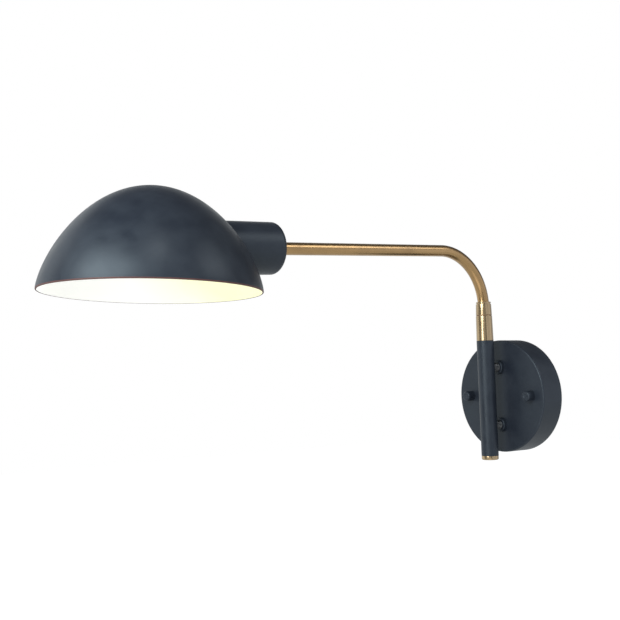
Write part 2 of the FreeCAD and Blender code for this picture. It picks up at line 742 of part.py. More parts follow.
def lamp_shade():
    """Spun dome with a rounded rim and a round hole in its flank for the lampholder."""
    outer, outer_rim, outer_crown = shade_curve(0)
    inner, inner_rim, inner_crown = shade_curve(SHADE_WALL)
    rim_foot = (outer_rim + inner_rim) * 0.5 - vector(0, 0, SHADE_WALL / 2)
    edges = [
        outer,
        Part.LineSegment(outer_crown, inner_crown).toShape(),
        inner,
        Part.Arc(inner_rim, rim_foot, outer_rim).toShape(),
    ]
    section = Part.Wire(Part.__sortEdges__(edges))
    dome = place_shade(Part.Face(section).revolve(ORIGIN, Z_AXIS, 360))
    mouth = rod(CUP_BORE, CUP_REACH)
    return dome.cut(along_arm(mouth, ARM_LENGTH))


# ---------------------------------------------------------------- lampholder
def lampholder_cup():
    """Spun cup on the arm's end; its open end is scribed to the dome's flank."""
    radius = CUP_DIAMETER / 2
    hole = ARM_BORE - THREAD_CLEARANCE + SLIP_CLEARANCE
    cup = turned([
        (hole, 0, 0),
        (radius, 0, CUP_CORNER),
        (radius, CUP_REACH, 0),
        (CUP_BORE, CUP_REACH, 0),
        (CUP_BORE, CUP_WALL, CUP_CORNER - CUP_WALL),
        (hole, CUP_WALL, 0),
    ])
    return along_arm(cup, ARM_LENGTH).cut(shade_blank())


def cup_locknut():
    nut = hex_nut(CUP_NUT_FLATS, CUP_NUT_THICKNESS, ARM_BORE)
    return along_arm(nut, CUP_FLOOR)


def lampholder_base():
    radius = HOLDER_DIAMETER / 2
    return along_arm(turned([
        (ARM_BORE, 0, 0),
        (radius, 0, 2 * HOLDER_ROUND),
        (radius, HOLDER_BASE_HEIGHT, 0),
        (radius - HOLDER_WALL, HOLDER_BASE_HEIGHT, 0),
        (radius - HOLDER_WALL, HOLDER_FLOOR, HOLDER_ROUND),
        (ARM_BORE, HOLDER_FLOOR, 0),
    ]), HOLDER_START)


def lampholder_body():
    radius = HOLDER_DIAMETER / 2
    bore = SHELL_RADIUS + SLIP_CLEARANCE
    return along_arm(turned([
        (0, 0, 0),
        (radius, 0, 0),
        (radius, HOLDER_BODY_HEIGHT, HOLDER_ROUND),
        (bore, HOLDER_BODY_HEIGHT, 0),
        (bore, HOLDER_WEB, 0),
        (0, HOLDER_WEB, 0),
    ]), BODY_START)


def screw_shell():
    floor_hole = CONTACT_DIAMETER / 2 + 2 * HOLE_CLEARANCE
    return along_arm(turned([
        (floor_hole, 0, 0),
        (SHELL_RADIUS, 0, 0),
        (SHELL_RADIUS, SHELL_HEIGHT, 0),
        (SHELL_RADIUS - SHELL_WALL, SHELL_HEIGHT, 0),
        (SHELL_RADIUS - SHELL_WALL, SHELL_WALL, 0),
        (floor_hole, SHELL_WALL, 0),
    ]), CONTACT_START)


def centre_contact():
    radius = CONTACT_DIAMETER / 2
    return along_arm(turned([
        (0, 0, 0),
        (radius, 0, 0),
        (radius, CONTACT_HEIGHT / 2, 0),
        (radius / 2, CONTACT_HEIGHT, 0),
        (0, CONTACT_HEIGHT, 0),
    ]), CONTACT_START)


# ---------------------------------------------------------------- bulb
def bulb_cap():
    """Screw cap: contact tip, insulating cone and rounded thread ridges."""
    tip = BULB_TIP_DIAMETER / 2
    radius = BULB_CAP_DIAMETER / 2
    root = radius - BULB_THREAD_DEPTH
    thread_foot = BULB_TIP_HEIGHT + BULB_THREAD_DEPTH
    corners = [
        (0, 0, 0),
        (tip, 0, BULB_THREAD_DEPTH),
        (tip, BULB_THREAD_DEPTH * 2, 0),
        (root, thread_foot, 0),
    ]
    for turn in range(BULB_THREAD_TURNS):
        crest = thread_foot + (turn + 0.5) * BULB_THREAD_PITCH
        corners.append((radius, crest, BULB_THREAD_DEPTH))
        corners.append((root, crest + BULB_THREAD_PITCH / 2, 0))
    top = BULB_TIP_HEIGHT + BULB_CAP_HEIGHT
    corners.append((root, top, 0))
    corners.append((0, top, 0))
    return along_arm(turned(corners), BULB_START)


def bulb_glass():
    """Round bulb, hollow, open towards its cap."""
    radius = BULB_DIAMETER / 2
    neck = BULB_NECK_DIAMETER / 2
    sphere_height = BULB_NECK_HEIGHT + math.sqrt(radius ** 2 - neck ** 2)
    top = sphere_height + radius
    edges = []
    shoulder_turn = math.asin(neck / radius)
    for inset in (0, BULB_GLASS):
        reach = radius - inset
        throat = neck - inset
        start_turn = math.asin(throat / reach)
        middle_turn = (math.pi + start_turn) / 2
        shoulder = vector(throat, 0, sphere_height - reach * math.cos(start_turn))
        middle = vector(
            reach * math.sin(middle_turn), 0, sphere_height - reach * math.cos(middle_turn)
        )
        crown = vector(0, 0, top - inset)
        edges.append(Part.LineSegment(vector(throat, 0, 0), shoulder).toShape())
        edges.append(Part.Arc(shoulder, middle, crown).toShape())
    edges.append(Part.LineSegment(vector(neck, 0, 0), vector(neck - BULB_GLASS, 0, 0)).toShape())
    edges.append(Part.LineSegment(vector(0, 0, top), vector(0, 0, top - BULB_GLASS)).toShape())
    section = Part.Wire(Part.__sortEdges__(edges))
    return along_arm(Part.Face(section).revolve(ORIGIN, Z_AXIS, 360), GLASS_START)


# ---------------------------------------------------------------- write one file per piece
PIECES = (
    mounting_bar,
    mounting_studs,
    stud_locknuts,
    ground_screw,
    wall_canopy,
    canopy_cap_nuts,
    standoff_nipples,
    standoff_flanges,
    nipple_washers,
    nipple_locknuts,
    terminal_block,
    terminal_screws,
    column_lead,
    column_tube,
    column_end_cap,
    swivel_sleeve,
    stop_pin,
    friction_washer,
    swivel_collar,
    swivel_pin,
    thrust_washer,
    spring_washer,
    swivel_ring_nut,
    arm_tube,
    arm_lead,
    arm_nipple,
    lamp_shade,
    lampholder_cup,
    cup_locknut,
    lampholder_base,
    lampholder_body,
    screw_shell,
    centre_contact,
    bulb_cap,
    bulb_glass,
)

os.makedirs("parts", exist_ok=True)
for piece in PIECES:
    shape = piece()
    shape.exportStep("parts/" + piece.__name__ + ".step")
    print(piece.__name__, "solids", len(shape.Solids), "valid", shape.isValid(), round(shape.Volume, 1))
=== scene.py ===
import json
import math

import bpy
from mathutils import Matrix, Vector


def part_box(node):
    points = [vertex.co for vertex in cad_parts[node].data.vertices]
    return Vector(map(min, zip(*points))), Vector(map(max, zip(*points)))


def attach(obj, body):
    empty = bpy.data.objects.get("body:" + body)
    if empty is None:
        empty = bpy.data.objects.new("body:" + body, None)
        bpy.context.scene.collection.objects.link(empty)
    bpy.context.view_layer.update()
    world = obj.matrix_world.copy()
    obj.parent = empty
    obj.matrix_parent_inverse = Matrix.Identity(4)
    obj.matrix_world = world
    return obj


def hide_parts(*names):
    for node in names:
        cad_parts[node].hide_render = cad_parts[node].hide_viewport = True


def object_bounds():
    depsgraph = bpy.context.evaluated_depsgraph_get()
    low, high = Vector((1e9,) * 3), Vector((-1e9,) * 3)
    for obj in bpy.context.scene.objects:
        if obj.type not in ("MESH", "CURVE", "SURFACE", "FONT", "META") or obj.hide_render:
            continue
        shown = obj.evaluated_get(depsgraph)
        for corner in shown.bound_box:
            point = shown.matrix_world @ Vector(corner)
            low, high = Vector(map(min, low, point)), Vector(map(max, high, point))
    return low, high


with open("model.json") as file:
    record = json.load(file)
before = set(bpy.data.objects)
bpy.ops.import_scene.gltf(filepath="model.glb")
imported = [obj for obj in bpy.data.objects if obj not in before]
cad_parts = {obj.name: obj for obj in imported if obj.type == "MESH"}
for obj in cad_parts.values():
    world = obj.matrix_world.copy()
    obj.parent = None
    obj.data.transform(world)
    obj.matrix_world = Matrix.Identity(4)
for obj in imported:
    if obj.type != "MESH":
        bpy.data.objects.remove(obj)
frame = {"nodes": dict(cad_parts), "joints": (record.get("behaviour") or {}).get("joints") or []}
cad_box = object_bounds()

bl_info = {
    "name": "Swing-arm Wall Light",
    "version": (1, 0, 0),
    "blender": (4, 5, 0),
    "location": "View3D > Sidebar > Wall Light",
    "description": "Finishes, turned brass, spun shade and threads of a swing-arm wall light",
    "category": "Object",
}

# Metres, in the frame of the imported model: X right along the wall, +Y into the wall, Z up.
COLUMN_AXIS = Vector(frame["joints"][0]["pos_m"][:2])
MM = 0.001
WELD = 0.001 * MM
PHOTO_PIXELS = 620
OUT_OF_WALL = (math.pi / 2, 0.0, 0.0)


# -------- sizes and colours a user may change
def maker(kind, **fixed):
    """Function that makes properties of one kind from a name, a description and a default."""
    make = getattr(bpy.props, kind + "Property")
    return lambda name, description, default: make(
        name=name, description=description, default=default, **fixed
    )


length = maker("Float", min=0.0, unit="LENGTH", precision=5)
angle = maker("Float", unit="ROTATION")
number = maker("Float", min=0.0)
count = maker("Int", min=3)
colour = maker("FloatVector", size=3, min=0.0, max=1.0, subtype="COLOR")
place = maker("FloatVector", size=3, subtype="TRANSLATION")


class ShadeSizes(bpy.types.PropertyGroup):
    """The spun dome"""

    diameter: length("Diameter", "Outer diameter at the rim", 0.1856)
    height: length("Height", "Outside height from rim to crown", 0.0882)
    wall: length("Wall", "Thickness of the spun sheet", 0.0015)
    reach: length("Reach", "From the column's axis to the shade's axis", 0.3878)
    rim_height: length("Rim Height", "Height of the rim's centre", 0.1006)
    tilt: angle("Tilt", "Lift of the rim's outer end", math.radians(1.8))
    fullness: number("Fullness", "Power in the rule of the dome's profile", 1.426)
    around: count("Segments", "Faces round the dome", 240)
    steps: count("Profile Steps", "Faces from rim to crown", 64)
    rim_steps: count("Rim Steps", "Faces round the rim's edge", 8)


class ArmSizes(bpy.types.PropertyGroup):
    """The bent tube and the cup at its end"""

    diameter: length("Diameter", "Outer diameter of the tube", 0.012)
    height: length("Height", "Where the arm's axis meets the column's axis", 0.1564)
    bend_radius: length("Bend Radius", "Radius of the bend's centre line", 0.057)
    droop: angle("Droop", "Fall of the arm below the level", math.radians(2.7))
    reach: length("Reach", "From the column's axis to the tube's end", 0.2658)
    cup_diameter: length("Cup Diameter", "Outer diameter of the lampholder cup", 0.0478)
    cup_wall: length("Cup Wall", "Thickness of the cup's sheet", 0.0012)
    cup_corner: length("Cup Corner", "Rounding of the cup's closed end", 0.0054)


class Finishes(bpy.types.PropertyGroup):
    """Colours of the finishes"""

    coat: colour("Powder Coat", "Blue-black powder coat", (0.0145, 0.0190, 0.0295))
    enamel: colour("Enamel", "White inside of the shade", (0.86, 0.86, 0.845))
    brass: colour("Brass", "Satin antique brass", (0.54, 0.335, 0.135))
    polished: colour("Polished Brass", "Brass of the turned pieces", (0.57, 0.42, 0.235))
    tarnish: colour("Tarnish", "Brass where it has darkened", (0.22, 0.13, 0.055))
    # Glow colours the bulb's own light and also the painted glow on the shade's enamel.
    glow: colour("Glow", "Light of the lamp in the shade", (1.0, 0.965, 0.05))


class Studio(bpy.types.PropertyGroup):
    """Camera, lamps and floor"""

    camera_place: place("Camera Place", "Where the camera stands", (0.67685, -0.75055, 0.0259))
    yaw: angle("Yaw", "Turn of the camera to the left of the wall's normal", 0.9590)
    pitch: angle("Pitch", "Lift of the camera's axis", 0.0755)
    roll: angle("Roll", "Turn of the camera about its axis", 0.0300)
    focal_pixels: number("Focal Length", "In widths of a pixel of the 620 pixel photograph", 891.98)
    floor_drop: length("Floor Drop", "Floor below the object's lowest point", 0.55)


class WallLight(bpy.types.PropertyGroup):
    """Everything that a user may change"""

    shade: bpy.props.PointerProperty(type=ShadeSizes)
    arm: bpy.props.PointerProperty(type=ArmSizes)
    finishes: bpy.props.PointerProperty(type=Finishes)
    studio: bpy.props.PointerProperty(type=Studio)


# -------- writing node trees
class Term:
    """Output of a node that can be reckoned with: each sign adds a Math node to its tree."""

    def __init__(self, tree, socket):
        self.tree, self.socket = tree, socket

    def __add__(self, other):
        return calc("ADD", self, other)

    def __sub__(self, other):
        return calc("SUBTRACT", self, other)

    def __rsub__(self, other):
        return calc("SUBTRACT", other, self)

    def __mul__(self, other):
        return calc("MULTIPLY", self, other)

    def __truediv__(self, other):
        return calc("DIVIDE", self, other)

    def __rtruediv__(self, other):
        return calc("DIVIDE", other, self)

    def __lt__(self, other):
        return calc("LESS_THAN", self, other)

    def __gt__(self, other):
        return calc("GREATER_THAN", self, other)


class Node:
    """Node of a tree, whose outputs by name or number are terms."""

    def __init__(self, tree, node):
        self.tree, self.inputs, self.outputs = tree, node.inputs, node.outputs

    def __getitem__(self, key):
        return Term(self.tree, self.outputs[key])


def fill(sockets, values):
    """Link inputs, by name or number, to terms, or give them values."""
    for key, value in values.items():
        if isinstance(value, Term):
            value.tree.links.new(value.socket, sockets[key])
        else:
            sockets[key].default_value = value


def put(tree, kind, inputs=None, **settings):
    """Add a node with its settings and inputs."""
    node = tree.nodes.new(kind)
    for key, value in settings.items():
        setattr(node, key, value)
    fill(node.inputs, inputs or {})
    return Node(tree, node)


def geo(tree, kind, inputs=None, **settings):
    """First output of a geometry node."""
    return put(tree, "GeometryNode" + kind, inputs, **settings)[0]


def use(tree, group, inputs):
    """Place a node group in a tree."""
    kind = "GeometryNodeGroup" if group.bl_idname == "GeometryNodeTree" else "ShaderNodeGroup"
    return put(tree, kind, inputs, node_tree=group)


def tree_of(*values):
    """Tree of the first term among some values."""
    return next(value.tree for value in values if isinstance(value, Term))


def calc(operation, *values, clamp=False):
    """Output of a Math node."""
    return put(
        tree_of(*values), "ShaderNodeMath", dict(enumerate(values)), operation=operation,
        use_clamp=clamp,
    )[0]


def blend(factor, first, second, mode="MIX"):
    """Output of a colour Mix node."""
    return put(
        tree_of(factor, first, second), "ShaderNodeMix", {0: factor, 6: first, 7: second},
        data_type="RGBA", blend_type=mode,
    )[2]


def remap(value, low, high, to_low=0.0, to_high=1.0):
    """Output of a clamped Map Range node."""
    return put(
        value.tree, "ShaderNodeMapRange", {0: value, 1: low, 2: high, 3: to_low, 4: to_high}
    )[0]


def xyz(x, y, z):
    return put(tree_of(x, y, z), "ShaderNodeCombineXYZ", {0: x, 1: y, 2: z})[0]


def parts(vector):
    return put(vector.tree, "ShaderNodeSeparateXYZ", {0: vector})


def opaque(rgb):
    return (*rgb, 1.0)


def new_tree(name, kind, inputs, outputs):
    """Node tree with named sockets, each told by its kind or by its default number.

    Returns the tree, its group input and the sockets of its group output."""
    tree = bpy.data.node_groups.new(name, kind)
    for in_out, sockets in (("INPUT", inputs), ("OUTPUT", outputs)):
        for label, told in sockets.items():
            socket = told if isinstance(told, str) else type(told).__name__.capitalize()
            item = tree.interface.new_socket(
                label, in_out=in_out, socket_type="NodeSocket" + socket
            )
            if socket != told:
                item.default_value = told
    given = Node(tree, tree.nodes.new("NodeGroupInput"))
    return tree, given, tree.nodes.new("NodeGroupOutput").inputs


def once(name):
    """Write a node tree only once; after that it is found by its name."""
    def keep(write):
        return lambda: bpy.data.node_groups.get(name) or write(name)

    return keep


# -------- shared effects of the finishes
def noise(vector, scale, detail=2.0, roughness=0.5):
    return put(
        vector.tree, "ShaderNodeTexNoise",
        {"Vector": vector, "Scale": scale, "Detail": detail, "Roughness": roughness},
    )[0]


def effect_tree(name, inputs):
    """Tree of an effect, from place and colour to colour, roughness and height."""
    return new_tree(
        name, "ShaderNodeTree", {"Vector": "Vector", "Colour": "Color", **inputs},
        {"Colour": "Color", "Roughness": "Float", "Height": "Float"},
    )


@once("Orange Peel")
def orange_peel_group(name):
    """Skin of a sprayed or baked coat: long soft waves, fine grit and sparse bright flecks."""
    tree, given, result = effect_tree(name, {
        "Fleck Colour": "Color", "Wave Scale": 500.0, "Grit Scale": 3500.0, "Fleck Amount": 0.3,
        "Roughness": 0.5,
    })
    waves_a_cloud, cloud_tint = 18.0, 0.12
    wave = noise(given["Vector"], given["Wave Scale"])
    grit = noise(given["Vector"], given["Grit Scale"], 3.0, 0.6)
    cloud = noise(given["Vector"], given["Wave Scale"] / waves_a_cloud, 3.0)
    fleck = remap(grit, 0.56, 0.72) * given["Fleck Amount"]
    worn = remap(cloud, 0.35, 0.7) * cloud_tint
    tinted = blend(worn, given["Colour"], given["Fleck Colour"])
    rough = given["Roughness"] + remap(cloud, 0.3, 0.7, -0.05, 0.05)
    fill(result, {
        "Colour": blend(fleck, tinted, given["Fleck Colour"]),
        "Roughness": rough + remap(grit, 0.3, 0.7, 0.06, -0.06),
        "Height": wave * 0.6 + grit * 0.4,
    })
    return tree


@once("Brush Lines")
def brush_lines_group(name):
    """Fine scratches along Z of the vector, as a belt leaves them, with broader darker bands."""
    tree, given, result = effect_tree(name, {
        "Dark Colour": "Color", "Line Scale": 2600.0, "Stretch": 0.012, "Darkening": 0.35,
        "Roughness": 0.28,
    })
    lines_a_band, band_tint, cloud_scale, cloud_tint = 7.0, 0.12, 60.0, 0.22
    split = parts(given["Vector"])
    drawn = xyz(split[0], split[1], split[2] * given["Stretch"])
    lines = noise(drawn, given["Line Scale"], 4.0, 0.7)
    bands = noise(drawn, given["Line Scale"] / lines_a_band, 2.0)
    cloud = noise(given["Vector"], cloud_scale, 3.0, 0.6)
    dark = remap(lines, 0.62, 0.32) * given["Darkening"]
    old = remap(cloud, 0.42, 0.75) * cloud_tint
    shade = remap(bands, 0.6, 0.35) * band_tint + old
    darker = calc("ADD", dark, shade, clamp=True)
    fill(result, {
        "Colour": blend(darker, given["Colour"], given["Dark Colour"]),
        "Roughness": given["Roughness"] + remap(lines, 0.3, 0.7, -0.07, 0.09) + old * 0.5,
        "Height": lines,
    })
    return tree


@once("Cloudy Plating")
def plating_group(name):
    """Cloudy electroplate with stains and fine pits."""
    tree, given, result = effect_tree(name, {
        "Stain Colour": "Color", "Cloud Scale": 220.0, "Stain Amount": 0.5, "Roughness": 0.35,
    })
    pits_a_cloud = 14.0
    cloud = noise(given["Vector"], given["Cloud Scale"], 4.0, 0.65)
    stain = remap(cloud, 0.4, 0.7) * given["Stain Amount"]
    fill(result, {
        "Colour": blend(stain, given["Colour"], given["Stain Colour"]),
        "Roughness": given["Roughness"] + remap(cloud, 0.3, 0.7, -0.08, 0.12),
        "Height": noise(given["Vector"], given["Cloud Scale"] * pits_a_cloud, 2.0),
    })
    return tree


# -------- finishes
def bare_material(name):
    """Material without any nodes; returns it and its tree."""
    material = bpy.data.materials.new(name)
    material.use_nodes = True
    material.node_tree.nodes.clear()
    return material, material.node_tree


def new_material(name):
    """Material with only a Principled shader and its output; returns tree and shader."""
    material, tree = bare_material(name)
    shader = put(tree, "ShaderNodeBsdfPrincipled")
    put(tree, "ShaderNodeOutputMaterial", {"Surface": shader[0]})
    return material, tree, shader


def object_vector(tree):
    return put(tree, "ShaderNodeTexCoord")["Object"]


def straight_vector(tree):
    """Place on the piece as it was before bending: X and Y across it, Z along it."""
    return put(tree, "ShaderNodeAttribute", attribute_name="straight")["Vector"]


def dress(shader, effect, bump, distance):
    """Feed a shader's colour, roughness and normal from an effect group's outputs."""
    bumped = put(
        shader.tree, "ShaderNodeBump",
        {"Strength": bump, "Distance": distance, "Height": effect["Height"]},
    )[0]
    fill(shader.inputs, {
        "Base Color": effect["Colour"], "Roughness": effect["Roughness"], "Normal": bumped,
    })


def sprayed(name, rgb, fleck, roughness, wave_scale=620.0, fleck_amount=0.3, bump=0.35):
    """Sprayed and baked coat on metal, or the skin of a moulding; returns tree and shader too."""
    grits_a_wave, skin_depth = 6, 0.06 * MM
    material, tree, shader = new_material(name)
    effect = use(tree, orange_peel_group(), {
        "Vector": object_vector(tree), "Colour": opaque(rgb), "Fleck Colour": opaque(fleck),
        "Wave Scale": wave_scale, "Grit Scale": wave_scale * grits_a_wave,
        "Fleck Amount": fleck_amount, "Roughness": roughness,
    })
    dress(shader, effect, bump, skin_depth)
    return material, tree, shader


def coat_material(name, *looks):
    return sprayed(name, *looks)[0]


def powder_coat(name, rgb):
    """Matt blue-black powder coat whose reflections carry a painted blue tint."""
    material, _, shader = sprayed(name, rgb, (0.075, 0.09, 0.11), 0.41, 1100.0, 0.25, 0.50)
    # Painted light: the specular tint paints the coat's reflections blue, standing in for bluish
    # light.
    fill(shader.inputs, {"Specular IOR Level": 0.5, "Specular Tint": (0.83, 0.95, 1.0, 1.0)})
    return material


def lamp_enamel(finishes, painted_glow_centre, painted_glow_reach):
    """White enamel of the shade's inside with a painted glow: it glows faintly all over, painted
    yellow near the holder and fading to painted shade at the crown.
    """
    rim_margin, crown_margin, painted_glow_at_crown = 0.03, 0.02, 0.35
    material, tree, shader = sprayed(
        "lamp_enamel", finishes.enamel, (0.95, 0.93, 0.88), 0.32, 420.0, 0.15, 0.15
    )
    here = object_vector(tree)
    far = put(
        tree, "ShaderNodeVectorMath", {0: here, 1: painted_glow_centre}, operation="DISTANCE"
    )["Value"]
    near = remap(far, painted_glow_reach * 1.05, painted_glow_reach * 0.6)
    lit = blend(near, (0.97, 0.985, 1.0, 1.0), opaque(finishes.glow))
    low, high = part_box("lamp_shade")
    painted_crown_shade = remap(parts(here)[2], low.z + rim_margin, high.z - crown_margin, 1.0, painted_glow_at_crown)
    # Painted light: the enamel glows on its own, with a painted yellow glow near the holder and
    # painted shade towards the crown.
    fill(shader.inputs, {
        "Emission Color": blend(1.0, lit, xyz(painted_crown_shade, painted_crown_shade, painted_crown_shade), "MULTIPLY"),
        "Emission Strength": 0.31,
    })
    return material


def brass_material(name, rgb, tarnish, roughness, darkening, line_scale, bump):
    """Belt-brushed antique brass under clear lacquer."""
    scratch_depth = 0.02 * MM
    material, tree, shader = new_material(name)
    effect = use(tree, brush_lines_group(), {
        "Vector": straight_vector(tree), "Colour": opaque(rgb), "Dark Colour": opaque(tarnish),
        "Line Scale": line_scale, "Darkening": darkening, "Roughness": roughness,
    })
    dress(shader, effect, bump, scratch_depth)
    fill(shader.inputs, {"Metallic": 1.0, "Coat Weight": 0.8, "Coat Roughness": 0.20})
    return material


def plated_material(name, rgb, stain, roughness, stain_amount=0.5):
    """Plated metal."""
    pit_bump, pit_depth = 0.15, 0.02 * MM
    material, tree, shader = new_material(name)
    effect = use(tree, plating_group(), {
        "Vector": object_vector(tree), "Colour": opaque(rgb), "Stain Colour": opaque(stain),
        "Stain Amount": stain_amount, "Roughness": roughness,
    })
    dress(shader, effect, pit_bump, pit_depth)
    fill(shader.inputs, {"Metallic": 1.0})
    return material


def opal_glass(finishes):
    """Opal white glass of the lit bulb: brightest at its crown, warmer at its neck."""
    neck_length = 12 * MM
    material, tree, shader = sprayed(
        "opal_glass", (0.92, 0.90, 0.84), (1.0, 0.98, 0.94), 0.25, 300.0, 0.2, 0.08
    )
    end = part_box("bulb_glass")[1].y
    neck = remap(parts(object_vector(tree))[1], end - neck_length, end)
    fill(shader.inputs, {
        "Emission Color": blend(neck, (1.0, 0.97, 0.86, 1.0), opaque(finishes.glow)),
        "Emission Strength": 1.0,
    })
    return material


def finish_nodes(material, *nodes):
    """Give CAD nodes a material."""
    for name in nodes:
        slots = frame["nodes"][name].material_slots
        if not slots:
            frame["nodes"][name].data.materials.append(material)
        for slot in slots:
            slot.material = material


# -------- steps of the geometry trees
def lathe_grid(tree, rows, segments):
    """Grid to be turned about Z; returns it with each point's row, angle and share of the turn."""
    grid = geo(tree, "MeshGrid", {
        "Size X": 1.0, "Size Y": 1.0, "Vertices X": segments + 1.0, "Vertices Y": rows,
    })
    index = geo(tree, "InputIndex")
    column = calc("FLOOR", (index + 0.5) / rows)
    turn = column * (2 * math.pi) / segments
    return grid, calc("FLOORED_MODULO", index, rows), turn, column / segments


def around(radius, turn, height):
    """Place at a radius and an angle about Z."""
    return xyz(radius * calc("COSINE", turn), radius * calc("SINE", turn), height)


def moved(geometry, position):
    return geo(geometry.tree, "SetPosition", {0: geometry, "Position": position})


def transformed(geometry, translation, rotation=(0.0, 0.0, 0.0)):
    return geo(geometry.tree, "Transform", {
        "Geometry": geometry, "Translation": translation, "Rotation": rotation,
    })


def welded(geometry):
    return geo(geometry.tree, "MergeByDistance", {"Geometry": geometry, "Distance": WELD})


def stored(geometry, name, value, kind="FLOAT_VECTOR"):
    """Geometry that keeps a value of its points by name."""
    return geo(
        geometry.tree, "StoreNamedAttribute",
        {"Geometry": geometry, "Name": name, "Value": value}, data_type=kind, domain="POINT",
    )


def recalled(tree, name, kind="FLOAT_VECTOR"):
    return geo(tree, "InputNamedAttribute", {"Name": name}, data_type=kind)


def circle(tree, segments, radius):
    return geo(
        tree, "CurvePrimitiveCircle", {"Resolution": segments, "Radius": radius}, mode="RADIUS"
    )


def rotation_of(euler):
    return put(euler.tree, "FunctionNodeEulerToRotation", {0: euler})[0]


def painted(geometry, material, **where):
    return geo(
        geometry.tree, "SetMaterial", {"Geometry": geometry, "Material": material, **where}
    )


def repeated(given, body):
    """Copies of a body, turned and set along a line."""
    line = geo(given.tree, "MeshLine", {
        "Count": given["Copies"], "Start Location": given["First"], "Offset": given["Step"],
    })
    copies = geo(given.tree, "InstanceOnPoints", {
        "Points": line, "Instance": body, "Rotation": rotation_of(given["Turn"]),
    })
    return geo(given.tree, "RealizeInstances", {0: copies})


@once("Revolve Profile")
def revolve_group(name):
    """Turn a profile's points (X is radius, Z is height) about Z; keeps 'straight' and 'row'."""
    tree, given, result = new_tree(
        name, "GeometryNodeTree", {"Profile": "Geometry", "Rows": 2, "Segments": 64},
        {"Mesh": "Geometry"},
    )
    grid, row, turn, _ = lathe_grid(tree, given["Rows"], given["Segments"])
    point = parts(geo(
        tree, "SampleIndex",
        {"Geometry": given["Profile"], "Index": row, "Value": geo(tree, "InputPosition")},
        data_type="FLOAT_VECTOR",
    ))
    place_at = around(point[0], turn, point[2])
    body = moved(stored(grid, "row", row, "FLOAT"), place_at)
    fill(result, {"Mesh": welded(stored(body, "straight", place_at))})
    return tree


@once("Smooth By Edge Angle")
def smooth_group(name):
    """Smooth shading, with edges sharper than an angle kept crisp."""
    tree, given, result = new_tree(
        name, "GeometryNodeTree", {"Mesh": "Geometry", "Angle": math.radians(40)},
        {"Mesh": "Geometry"},
    )
    round_faces = geo(
        tree, "SetShadeSmooth", {0: given["Mesh"], "Shade Smooth": True}, domain="FACE"
    )
    crisp = put(
        tree, "FunctionNodeCompare", {0: geo(tree, "InputMeshEdgeAngle"), 1: given["Angle"]},
        data_type="FLOAT", operation="GREATER_THAN",
    )[0]
    fill(result, {"Mesh": geo(
        tree, "SetShadeSmooth", {0: round_faces, "Selection": crisp, "Shade Smooth": False},
        domain="EDGE",
    )})
    return tree


def smooth_real(geometry):
    """Smooth and real geometry."""
    smooth = use(geometry.tree, smooth_group(), {"Mesh": geometry})["Mesh"]
    return geo(geometry.tree, "RealizeInstances", {0: smooth})


def piece_tree(name, inputs):
    """Tree of a piece, with its material among its inputs."""
    return new_tree(name, "GeometryNodeTree", inputs, {"Geometry": "Geometry"})


def close_tree(given, result, geometry):
    """End of a tree: smooth, real geometry with its material."""
    fill(result, {"Geometry": painted(smooth_real(geometry), given["Material"])})


# -------- geometry trees of the pieces
@once("Turned Pieces")
def turned_tree(name):
    """Turned pieces from the profile that the modifier's own object holds, repeated on a line."""
    tree, given, result = piece_tree(name, {
        "Geometry": "Geometry", "Segments": 96, "Copies": 1, "First": "Vector",
        "Step": "Vector", "Turn": "Vector", "Material": "Material",
    })
    rows = geo(tree, "AttributeDomainSize", {"Geometry": given["Geometry"]}, component="CURVE")
    body = use(tree, revolve_group(), {
        "Profile": given["Geometry"], "Rows": rows, "Segments": given["Segments"],
    })["Mesh"]
    close_tree(given, result, repeated(given, body))
    return tree


